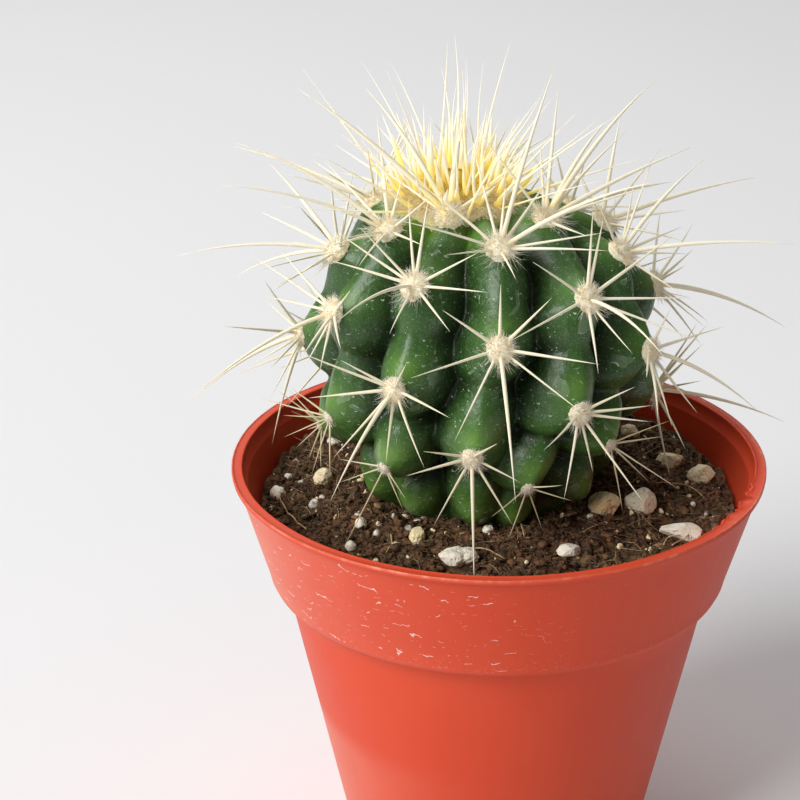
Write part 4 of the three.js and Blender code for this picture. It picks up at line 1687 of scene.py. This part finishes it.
    def build(self) -> None:
        """Build the soil and everything that lies in it."""
        self.build_bed()
        stones = {kind: Stone(kind).make() for kind in StoneKind}
        loose = Peat("peat_loose", brown=(0.130, 0.066, 0.027), rust_from=0.72).make()
        bark = Peat("bark_bits", (0.045, 0.022, 0.011), (0.16, 0.075, 0.036), (0.31, 0.14, 0.065),
                    rust_from=0.5).make()
        straw = Peat("straw_bits", (0.16, 0.095, 0.045), (0.36, 0.24, 0.11), (0.52, 0.38, 0.18),
                     rust_from=0.5).make()
        grit = stones[StoneKind.CREAM]
        for name, count, step, sizes, flat, sunk, finish in (
            ("soil_crumbs", self.crumbs, 0, (0.25, 1.5), 0.80, 0.25, loose),
            ("bark_bits", self.bark, 1, (0.5, 2.4), 0.33, 0.10, bark),
            ("straw_bits", self.straw, 3, (0.6, 2.4), 0.22, 0.05, straw),
            ("soil_clods", self.clods, 4, (1.2, 3.6), 0.55, 0.30, loose),
            ("soil_grit", self.grit, 2, (0.3, 1.2), 0.85, 0.10, grit),
        ):
            self.build_crumbs(name, count, self.seed + step, sizes, flat, sunk, finish)
        dark = DryRoot("dark_fibre", (0.27, 0.145, 0.070), (0.08, 0.040, 0.020)).make()
        pale = DryRoot("pale_fibre", (0.55, 0.40, 0.22), (0.30, 0.18, 0.09)).make()
        self.build_fibres("soil_fibres", self.fibres, self.seed + 7, (0.9, 4.2), 0.06, dark)
        self.build_fibres("pale_fibres", self.pale_fibres, self.seed + 8, (1.5, 6.0), 0.07, pale)
        self.build_roots()
        self.build_grains(stones[StoneKind.WHITE])
        self.build_pebbles(stones)


# ---- Spines --------------------------------------------------------------------------------
@dataclass
class Needle:
    """One spine, hair or fibre: a tapering rod that bends to one side."""

    start: Vector
    way: Vector
    length: float
    radius: float
    bend: float = 0.0
    aside: Vector = field(default_factory=lambda: UP.copy())
    sides: int = 8
    joints: int = 7
    blunt: float = 0.6
    swell: float = 0.0
    flat: float = 1.0
    youth: float = 0.0
    age: float = 0.0

    def thickness(self, part: float) -> float:
        """Radius part of the way along, which may swell before it tapers."""
        slim = 1.0 - self.swell + self.swell * math.sin(math.pi * part ** 0.7)
        return self.radius * max(0.04, slim * (1.0 - part ** (1.0 + 2.0 * self.swell)) ** self.blunt)


@lru_cache(maxsize=None)
def needle_blank(sides: int, joints: int) -> bpy.types.Mesh:
    """Make a closed rod of unit length and radius along +Z, once for each kind.

    Args:
        sides: How many sides it has.
        joints: How many cuts it has along its length.

    Returns:
        Its mesh.
    """
    bm = bmesh.new()
    bmesh.ops.create_cone(
        bm, cap_ends=True, segments=sides, radius1=1.0, radius2=1.0, depth=1.0,
        matrix=Matrix.Translation((0.0, 0.0, 0.5)),
    )
    upright = [edge for edge in bm.edges if abs(edge.verts[0].co.z - edge.verts[1].co.z) > 0.5]
    bmesh.ops.subdivide_edges(bm, edges=upright, cuts=joints, use_grid_fill=False)
    return keep(bm, "needle_blank")


@lru_cache(maxsize=None)
def ball_blank(level: int) -> bpy.types.Mesh:
    """Make a ball of unit radius out of triangles, once for each fineness.

    Args:
        level: How fine it is.

    Returns:
        Its mesh.
    """
    bm = bmesh.new()
    bmesh.ops.create_icosphere(bm, subdivisions=level, radius=1.0)
    return keep(bm, "ball_blank")


def grow_needle(heap: Heap, needle: Needle) -> None:
    """Make one needle in a heap.

    Args:
        heap: Where it is made; it has the layers along, youth and age.
        needle: The needle.
    """
    verts = heap.copy(needle_blank(needle.sides, needle.joints))
    turn = UP.rotation_difference(needle.way)
    along_layer = heap.layers["along"]
    for vert in verts:
        part = clamp(vert.co.z)
        ring = Vector((vert.co.x, vert.co.y * needle.flat, 0.0)) * needle.thickness(part)
        bow = needle.aside * (needle.bend * needle.length * 4.0 * part * (1.0 - part))
        vert.co = needle.start + needle.way * (part * needle.length) + bow + turn @ ring
        vert[along_layer] = part
    heap.mark(verts, youth=needle.youth, age=needle.age)


@dataclass(frozen=True)
class Tuft:
    """A crowd of young spines at golden-angle steps over the wool, longer towards its edge."""

    count: int
    seed: int
    reach: float
    length: float
    length_spread: float
    outer_longer: float
    radius: float
    lean: float
    lean_spread: float
    youth: float
    bend: float


class Young(Enum):
    """The crown's spines: yellow new ones in the middle and the long cream ones round them."""

    NEW = Tuft(56, 7, 0.92, 4.6, 7.6, 0.8, 0.58, 36.0, 40.0, 0.54, 0.08)
    GROWN = Tuft(58, 61, 0.98, 9.0, 14.0, 3.0, 0.27, 60.0, 52.0, 0.26, 0.14)


@dataclass
class Crown:
    """The woolly growing point with its crowd of young spines."""

    form: StemForm
    middle: float = 118.0
    radius: float = 10.8
    height: float = 4.6
    aside: float = -2.2
    hairs: int = 9000

    @property
    def centre(self) -> Vector:
        """The middle of the wool's dome."""
        return Vector((self.form.axis(self.middle) + self.aside, self.form.axis_y, self.middle))

    def contains(self, point: Vector) -> bool:
        """Whether a point lies in the wool or within a millimetre of it."""
        flat = math.hypot(point.x - self.centre.x, point.y - self.centre.y) / (self.radius + 1.0)
        return flat ** 2 + ((point.z - self.middle) / (self.height + 1.0)) ** 2 < 1.0

    def root(self, out: float, angle: float, sunk: float) -> Vector:
        """A place on the dome, by its share of the radius and its angle, a little sunk."""
        flat = Vector((math.cos(angle), math.sin(angle), 0.0)) * (self.radius * out)
        return self.centre + flat + UP * (self.height * math.sqrt(max(0.0, 1.0 - out ** 2)) - sunk)

    def build_wool(self) -> None:
        """Raise the lumpy dome and cover it with short hairs."""
        heap = Heap("crown_wool", NEEDLE_LAYERS)
        made = bmesh.ops.create_uvsphere(heap.bm, u_segments=96, v_segments=48, radius=1.0)
        for vert in made["verts"]:
            p = vert.co.copy()
            lumps = 0.96 + 0.05 * grain(p, 0.35, 3.0) + 0.03 * grain(p, 0.12, 5.0)
            dome = Vector((p.x * self.radius, p.y * self.radius, p.z * self.height))
            vert.co = self.centre + dome * lumps
            vert[heap.layers["youth"]] = clamp(1.5 - 1.05 * math.hypot(p.x, p.y))
        heap.mark(made["verts"], along=0.2, age=0.0)
        for i in range(self.hairs):
            out = math.sqrt((i + 0.5) / self.hairs)
            angle = i * GOLDEN
            way = leaning(0.35 + 1.35 * out + 0.7 * (draw(i + 0.3) - 0.5), angle + draw(i) - 0.5)
            grow_needle(heap, Needle(
                self.root(0.99 * out, angle, 0.3), way, 0.9 + 1.7 * draw(i + 0.6), 0.055,
                bend=0.3 * (draw(i + 0.8) - 0.5), sides=3, joints=1, youth=clamp(1.25 - 1.05 * out),
            ))
        heap.finish(AreoleWool().make(), "wool", "crown")

    def build_spines(self, finish: bpy.types.Material) -> None:
        """Set the young spines, upright in the middle and leaning out towards the edge.

        Args:
            finish: Their material.
        """
        heap = Heap("crown_spines", NEEDLE_LAYERS)
        for kind in Young:
            tuft = kind.value
            for i in range(tuft.count):
                seed = tuft.seed + 1.37 * i
                out = tuft.reach * math.sqrt((i + 0.5) / tuft.count)
                angle = i * GOLDEN
                extra = tuft.length_spread * draw(seed) ** 1.8
                lean = tuft.lean * out ** 1.2 + tuft.lean_spread * (draw(seed + 0.5) - 0.5)
                turn = angle + 1.1 * (draw(seed + 0.75) - 0.5)
                aside = Vector((math.cos(turn + 2.0 * draw(seed + 0.2)), math.sin(turn), 0.4))
                grow_needle(heap, Needle(
                    self.root(out, angle, 0.6), leaning(math.radians(lean), turn),
                    tuft.length + extra + tuft.outer_longer * out ** 2,
                    tuft.radius * (0.75 + 0.5 * draw(seed + 0.1)),
                    bend=tuft.bend * (draw(seed + 0.9) - 0.7), aside=aside.normalized(), swell=0.15,
                    blunt=0.9, joints=8, flat=0.6, youth=tuft.youth * (0.75 + 0.5 * draw(seed + 0.3)),
                ))
        heap.finish(finish, "wool")

    def build(self, finish: bpy.types.Material) -> None:
        """Build the wool and the young spines."""
        self.build_wool()
        self.build_spines(finish)


@dataclass
class Fan:
    """The usual fan of spines of an areole, and what the seeded draw may add."""

    clocks: tuple = (0, 45, 96, 130, 205, 254, 303, 330)
    clock_spread: float = 16.0
    length: float = 12.0
    length_spread: float = 5.0
    lift: float = 18.0
    lift_spread: float = 9.0
    young_tilt: float = 40.0
    young_lift: float = 16.0
    central_clock: float = 164.0
    central_clock_spread: float = 26.0
    central_length: float = 23.0
    central_length_spread: float = 5.0
    central_lift: float = 44.0
    low_tilt: float = 108.0
    low_share: float = 0.6

    def spines(self, areole: Areole) -> list[tuple[float, float, float]]:
        """Draw the spines of an areole.

        Args:
            areole: The areole.

        Returns:
            Clock angle, lift and length of each.
        """
        seed = areole.seed
        young = self.young_lift if areole.tilt < self.young_tilt else 0.0
        low = areole.tilt > self.low_tilt
        share = self.low_share if low else 1.0
        found = [(
            clock + self.clock_spread * (draw(seed + i) - 0.5),
            self.lift + young + self.lift_spread * draw(seed + i + 0.25),
            (self.length + self.length_spread * draw(seed + i + 0.5)) * share,
        ) for i, clock in enumerate(self.clocks)]
        if not low:
            found.append((
                self.central_clock + self.central_clock_spread * draw(seed + 8),
                self.central_lift,
                self.central_length + self.central_length_spread * draw(seed + 8.5),
            ))
        return found


# Areoles of the seen side, named rib.areole: clock angle, lift off the skin and length of each
# of their spines.
OWN_SPINES = {
    "0.1": ((200, 40, 26), (250, 33, 17), (275, 33, 22), (65, 33, 13), (125, 27, 12), (240, 22, 10),
            (170, 22, 12)),
    "0.2": ((65, 48, 17), (205, 48, 25), (275, 27, 14), (225, 33, 15), (195, 12, 24), (100, 25, 12),
            (140, 25, 12), (20, 30, 13)),
    "1.0": ((215, 40, 27), (235, 48, 27), (280, 22, 18), (315, 30, 21), (350, 40, 8), (100, 12, 13),
            (140, 18, 16), (70, 33, 13), (155, 33, 14), (185, 22, 11)),
    "1.1": ((295, 22, 14), (280, 22, 19), (260, 22, 13), (195, 40, 26), (120, 40, 15), (135, 22, 12),
            (105, 22, 13), (65, 27, 15), (165, 22, 10)),
    "1.2": ((305, 22, 8), (278, 27, 14), (255, 12, 13), (240, 18, 13), (230, 10, 14), (195, 22, 11),
            (160, 22, 9)),
    "2.0": ((305, 40, 24), (355, 27, 20), (275, 40, 30), (290, 22, 15), (335, 22, 17), (50, 22, 11)),
    "2.1": ((345, 22, 13), (0, 22, 13), (65, 22, 12), (95, 18, 14), (130, 22, 14), (170, 33, 13),
            (190, 48, 21), (270, 22, 13), (290, 22, 14), (300, 48, 12)),
    "2.2": ((40, 40, 13), (300, 22, 9), (298, 32, 16), (260, 22, 13), (215, 22, 14), (190, 48, 20),
            (175, 22, 11), (140, 22, 13), (90, 27, 14)),
    "2.3": ((270, 8, 8), (243, 12, 10), (203, 40, 15), (125, 22, 6), (145, 22, 7)),
    "3.0": ((355, 22, 19), (15, 22, 11), (30, 48, 29), (45, 22, 15), (75, 22, 11), (105, 22, 16),
            (120, 22, 17), (185, 27, 13), (240, 27, 13), (275, 22, 17), (310, 22, 16), (105, 40, 27)),
    "3.1": ((0, 22, 10), (45, 22, 11), (100, 22, 15), (130, 22, 16), (180, 40, 27), (210, 22, 16),
            (255, 22, 15), (305, 22, 11)),
    "3.2": ((295, 22, 8), (265, 22, 10), (210, 22, 12), (175, 48, 19), (145, 22, 12), (105, 22, 8),
            (25, 40, 13)),
    "4.0": ((90, 40, 30), (115, 28, 27), (90, 30, 22), (50, 40, 23), (80, 33, 22), (45, 27, 15),
            (133, 30, 18), (215, 22, 13), (340, 35, 18)),
    "4.1": ((15, 22, 13), (25, 22, 12), (73, 15, 18), (110, 22, 16), (135, 22, 18), (195, 48, 21),
            (175, 22, 11), (210, 18, 14), (260, 8, 19), (300, 22, 14)),
    "4.2": ((60, 22, 9), (85, 22, 11), (100, 22, 11), (155, 40, 17), (175, 22, 9), (205, 22, 13),
            (265, 33, 12)),
    "4.3": ((50, 30, 6), (100, 22, 7), (160, 22, 8), (200, 22, 9), (245, 22, 7)),
    "5.1": ((160, 48, 27), (130, 22, 13), (110, 27, 14), (85, 45, 22), (50, 45, 16), (60, 25, 14),
            (200, 22, 12), (280, 22, 13), (330, 25, 12)),
    "5.2": ((136, 33, 23), (155, 22, 14), (195, 22, 12), (90, 27, 15), (25, 22, 7), (225, 22, 12),
            (270, 22, 12)),
    "5.3": ((65, 22, 10), (85, 22, 9), (124, 48, 13), (135, 22, 11), (170, 22, 12)),
    "6.0": ((155, 42, 29), (70, 48, 20), (110, 48, 19), (170, 40, 14), (30, 25, 13), (200, 25, 13),
            (250, 22, 12)),
    "6.1": ((165, 50, 28), (155, 33, 16), (93, 45, 14), (70, 45, 16), (30, 25, 13), (190, 22, 13),
            (240, 22, 12), (300, 22, 11)),
}


@dataclass
class Armour:
    """The areoles with their felt, and the spines that grow from them."""

    form: StemForm
    soil: Soil
    crown: Crown
    fan: Fan = field(default_factory=Fan)
    radial_radius: float = 0.30
    central_radius: float = 0.42
    stout_radius: float = 0.58
    old_radius: float = 0.19
    central_from: float = 19.5
    central_sag: float = 0.05
    newest_lift: float = 1.0
    pad_radius: float = 2.15
    pad_height: float = 1.45
    pad_sag: float = 1.15
    worn_pad: float = 0.46
    worn: frozenset = frozenset({"1.2", "2.3", "4.3", "5.3"})
    hairs: int = 330
    checked_parts: tuple = (0.2, 0.3, 0.4, 0.5, 0.6, 0.7, 0.8, 0.9, 1.0)

    def is_blocked(self, point: Vector) -> bool:
        """Whether a point comes too near the soil, a pebble, the pot or the crown's wool.

        Args:
            point: The point.

        Returns:
            True if it does.
        """
        x, y, z = point
        pot = self.soil.pot
        if z < self.soil.top(x, y) + 1.0:
            return True
        if z < pot.height + 1.0 and math.hypot(x, y) > pot.inner(min(z, pot.height)) - 1.0:
            return True
        for stone in PEBBLES:
            length, width, height = stone.size
            middle = self.soil.top(stone.x, stone.y) + self.soil.stone_shows * height
            near = math.hypot(x - stone.x, y - stone.y) < max(length, width) / 2 + 1.0
            if near and z < middle + height / 2 + 1.0:
                return True
        return self.crown.contains(point)

    def clear_way(self, start: Vector, way: Vector, length: float) -> Vector | None:
        """Bend a spine up until it is clear.

        Args:
            start: Its root.
            way: The direction asked for.
            length: Its length.

        Returns:
            The first clear direction, or nothing if there is none.
        """
        direction = way.copy()
        for _ in range(24):
            spots = (start + direction * (part * length) for part in self.checked_parts)
            if not any(self.is_blocked(spot) for spot in spots):
                return direction
            direction.z += 0.07
            direction.normalize()
        return None

    def is_worn(self, areole: Areole) -> bool:
        """Whether an areole is one of the oldest, by the soil, which have lost most of their wool."""
        return areole.name in self.worn or areole.tilt > self.fan.low_tilt

    def ageing(self, areole: Areole) -> float:
        """How old an areole is, from 0 near the crown to 1 by the soil."""
        return 1.0 if self.is_worn(areole) else 0.55 * smoothstep(areole.tilt, 55.0, 115.0)

    def spine_radius(self, areole: Areole, central: bool) -> float:
        """Find how thick a spine is at its root.

        Args:
            areole: Its areole.
            central: Whether it is one of the long central ones.

        Returns:
            Its radius.
        """
        if self.is_worn(areole):
            return self.old_radius
        if not central:
            return self.radial_radius
        return self.stout_radius if areole.name == self.form.newest else self.central_radius

    def build_spines(self, finish: bpy.types.Material) -> None:
        """Grow the spines of every areole.

        Args:
            finish: Their material.
        """
        heap = Heap("spines", NEEDLE_LAYERS)
        for areole in self.form.areoles():
            newest = areole.name == self.form.newest
            root = areole.at + areole.out * (self.newest_lift if newest else 0.0)
            spines = OWN_SPINES.get(areole.name) or self.fan.spines(areole)
            youth = 0.22 * (1.0 - smoothstep(areole.tilt, 16.0, 34.0))
            for i, (clock, lift, length) in enumerate(spines):
                turn, rise = math.radians(clock), math.radians(lift)
                flat = areole.up * math.cos(turn) + areole.right * math.sin(turn)
                way = flat * math.cos(rise) + areole.out * math.sin(rise)
                way.normalize()
                direction = way if newest else self.clear_way(root, way, length)
                if direction is None:
                    continue
                central = length >= self.central_from
                seed = areole.seed + 0.13 * i
                if central:
                    bend = self.central_sag * (0.5 + draw(seed + 0.9))
                else:
                    bend = 0.035 * (draw(seed) - 0.3)
                grow_needle(heap, Needle(
                    root - areole.out * 0.5, direction, length + 0.5,
                    self.spine_radius(areole, central) * (0.85 + 0.3 * draw(seed + 0.4)), bend=bend,
                    aside=UP if central else areole.out, joints=10 if central else 7, flat=0.85,
                    swell=0.24 if central else 0.14, blunt=0.8 if central else 0.7, youth=youth,
                    age=self.ageing(areole) * (0.55 + 0.45 * draw(seed + 0.7)),
                ))
        heap.finish(finish, "cactus_skin")

    def build_felt(self) -> None:
        """Cover every areole with a felted pad and its loose hairs."""
        felt, down = (Heap(name, NEEDLE_LAYERS) for name in ("areole_felt", "areole_down"))
        for areole in self.form.areoles():
            age = self.ageing(areole)
            young = 1.0 - smoothstep(areole.tilt, 22.0, 60.0)
            newest = areole.name == self.form.newest
            share = self.worn_pad if self.is_worn(areole) else 1.0 + 0.06 * young - 0.40 * age
            size = self.pad_radius * share
            turn = Matrix((areole.right, areole.up, areole.out)).transposed()
            middle = areole.at + areole.out * (self.newest_lift * 0.6 if newest else 0.0)
            pad = felt.copy(ball_blank(4))
            for vert in pad:
                p = vert.co.copy()
                stretch = self.pad_sag if p.y < 0 else 1.0
                lumps = 0.16 * grain(p, 0.45, areole.seed) + 0.10 * grain(p, 0.17, areole.seed + 4)
                height = self.pad_height * size / self.pad_radius
                local = Vector((p.x * size, p.y * size * stretch, p.z * height)) * (1.0 + lumps)
                vert.co = middle + turn @ local - areole.out * 0.35
            felt.mark(pad, along=0.1, youth=0.14 * young + (0.1 if newest else 0.0), age=age)
            self.build_hairs(down, areole, middle, turn, size, young, age)
        wool = AreoleWool().make()
        for heap in (felt, down):
            heap.finish(wool, "cactus_skin")

    def build_hairs(self, heap: Heap, areole: Areole, middle: Vector, turn: Matrix, size: float,
                    young: float, age: float) -> None:
        """Stand short hairs on one pad, longer and hanging at its lower edge.

        Args:
            heap: The felt.
            areole: The areole.
            middle: The middle of its pad.
            turn: Its axes as columns: right, up and out.
            size: The pad's radius.
            young: How young it is, from 0 to 1.
            age: How old it is, from 0 to 1.
        """
        share = size / self.pad_radius
        for i in range(int(self.hairs * share)):
            seed = areole.seed * 7.1 + i
            out = math.sqrt((i + 0.5) / (self.hairs * share))
            angle = i * GOLDEN
            local = Vector((math.cos(angle) * out, math.sin(angle) * out, 0.0))
            if local.y < 0:
                local.y *= self.pad_sag
            height = self.pad_height * share * math.sqrt(max(0.0, 1.0 - out ** 2))
            root = middle + turn @ Vector((local.x * size, local.y * size, height - 0.45))
            lean = 0.3 + 1.2 * out + 0.8 * (draw(seed + 0.2) - 0.5)
            way = turn @ leaning(lean, angle + 1.2 * (draw(seed + 0.4) - 0.5))
            hanging = out > 0.8 and local.y < -0.3
            longer = 1.0 + 0.5 * young + (1.1 if hanging else 0.0)
            length = (0.55 + 0.9 * draw(seed)) * share * longer
            grow_needle(heap, Needle(
                root, way.normalized(), length, 0.042, bend=0.5 * (draw(seed + 0.6) - 0.5),
                aside=areole.up, sides=3, joints=1, youth=0.1 * young,
                age=clamp(age + (0.5 if hanging else 0.0)),
            ))

    def build(self, finish: bpy.types.Material) -> None:
        """Build the spines and the felt."""
        self.build_spines(finish)
        self.build_felt()


# ---- Studio --------------------------------------------------------------------------------
@dataclass
class Studio:
    """Camera, soft lights and the plain pale ground."""

    image_side: int = 800
    focal_pixels: float = 1800.0
    sensor: float = 36.0
    camera_at: tuple = (-16.318, -277.596, 202.585)
    pitch: float = 22.94
    roll: float = -0.76
    aim: tuple = (0.0, 0.0, 85.0)
    lights: tuple = (
        ("window", (-1350, -900, 1300), 1200, 45.0),
        ("back", (-200, 1500, 1300), 1000, 7.5),
        ("above", (-100, 500, 1600), 1000, 5.0),
    )
    air: tuple = (1.0, 0.985, 0.97)
    air_strength: float = 0.13
    ground_half: float = 6000.0
    ground_sweep: float = 1500.0
    ground_rise: float = 5000.0
    ground_turns: int = 24

    def build_camera(self) -> None:
        """Put the camera where the photograph was taken from."""
        data = bpy.data.cameras.new("camera")
        data.sensor_width = self.sensor
        data.lens = self.sensor * self.focal_pixels / self.image_side
        data.clip_start = 0.01
        camera = show("camera", data)
        look = Matrix.Rotation(math.radians(90.0 - self.pitch), 4, "X")
        turn = Matrix.Rotation(math.radians(self.roll), 4, "Z")
        camera.matrix_world = Matrix.Translation(Vector(self.camera_at) * MM) @ look @ turn
        bpy.context.scene.camera = camera

    def build_lights(self) -> None:
        """Hang the soft square lights, named with their place, side in mm and power in watts."""
        for name, at, side, power in self.lights:
            data = bpy.data.lights.new(name, "AREA")
            data.shape = "RECTANGLE"
            data.size = data.size_y = side * MM
            data.energy = power
            look = (Vector(self.aim) - Vector(at)).to_track_quat("-Z", "Y").to_matrix().to_4x4()
            show(name, data).matrix_world = Matrix.Translation(Vector(at) * MM) @ look

    def build_air(self) -> None:
        """Fill the room with faint even light."""
        world = bpy.data.worlds.new("studio")
        world.use_nodes = True
        background = world.node_tree.nodes["Background"]
        background.inputs["Color"].default_value = (*self.air, 1.0)
        background.inputs["Strength"].default_value = self.air_strength
        bpy.context.scene.world = world
        bpy.context.scene.view_settings.view_transform = "Standard"

    def build_ground(self) -> None:
        """Lay a pale sheet that runs flat under the pot and curves up far behind it."""
        half, sweep = self.ground_half, self.ground_sweep
        section = [(-half, 0.0), (half - sweep, 0.0)]
        for i in range(1, self.ground_turns + 1):
            angle = 0.5 * math.pi * i / self.ground_turns
            section.append((half - sweep + sweep * math.sin(angle), sweep * (1.0 - math.cos(angle))))
        section.append((half, self.ground_rise))
        bm = bmesh.new()
        points = [bm.verts.new(Vector((-half, y, z)) * MM) for y, z in section]
        edges = [bm.edges.new(pair) for pair in zip(points, points[1:])]
        grown = bmesh.ops.extrude_edge_only(bm, edges=edges)
        moved = [item for item in grown["geom"] if isinstance(item, bmesh.types.BMVert)]
        bmesh.ops.translate(bm, vec=(2.0 * half * MM, 0.0, 0.0), verts=moved)
        mesh = keep(bm, "studio_ground")
        mesh.materials.append(StudioPaper().make())
        mesh.shade_smooth()
        show("studio_ground", mesh)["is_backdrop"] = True

    def build(self) -> None:
        """Set up the studio."""
        self.build_camera()
        self.build_ground()
        self.build_lights()
        self.build_air()


def main() -> None:
    """Build the potted cactus and its studio."""
    logging.basicConfig(level=logging.INFO, format="%(name)s: %(message)s")
    noise.seed_set(NOISE_SEED)
    low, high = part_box("pot")
    pot = Pot(height=high[2] / MM, rim=(high[0] - low[0]) / (2.0 * MM))
    form = StemForm()
    soil = Soil(pot, form)
    crown = Crown(form)
    horn = SpineHorn().make()
    pot.build()
    soil.build()
    StemBody(form).build()
    Armour(form, soil, crown).build(horn)
    # The young spines' horn gets a stronger painted glow, emission 0.28.
    crown.build(SpineHorn("young_horn", 0.28, grained=0.04).make())
    Studio().build()
    boxes = {"cad": cad_size, "visual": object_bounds()}
    {name: [list(corner) for corner in box] for name, box in boxes.items()}


if __name__ == "__main__":
    main()
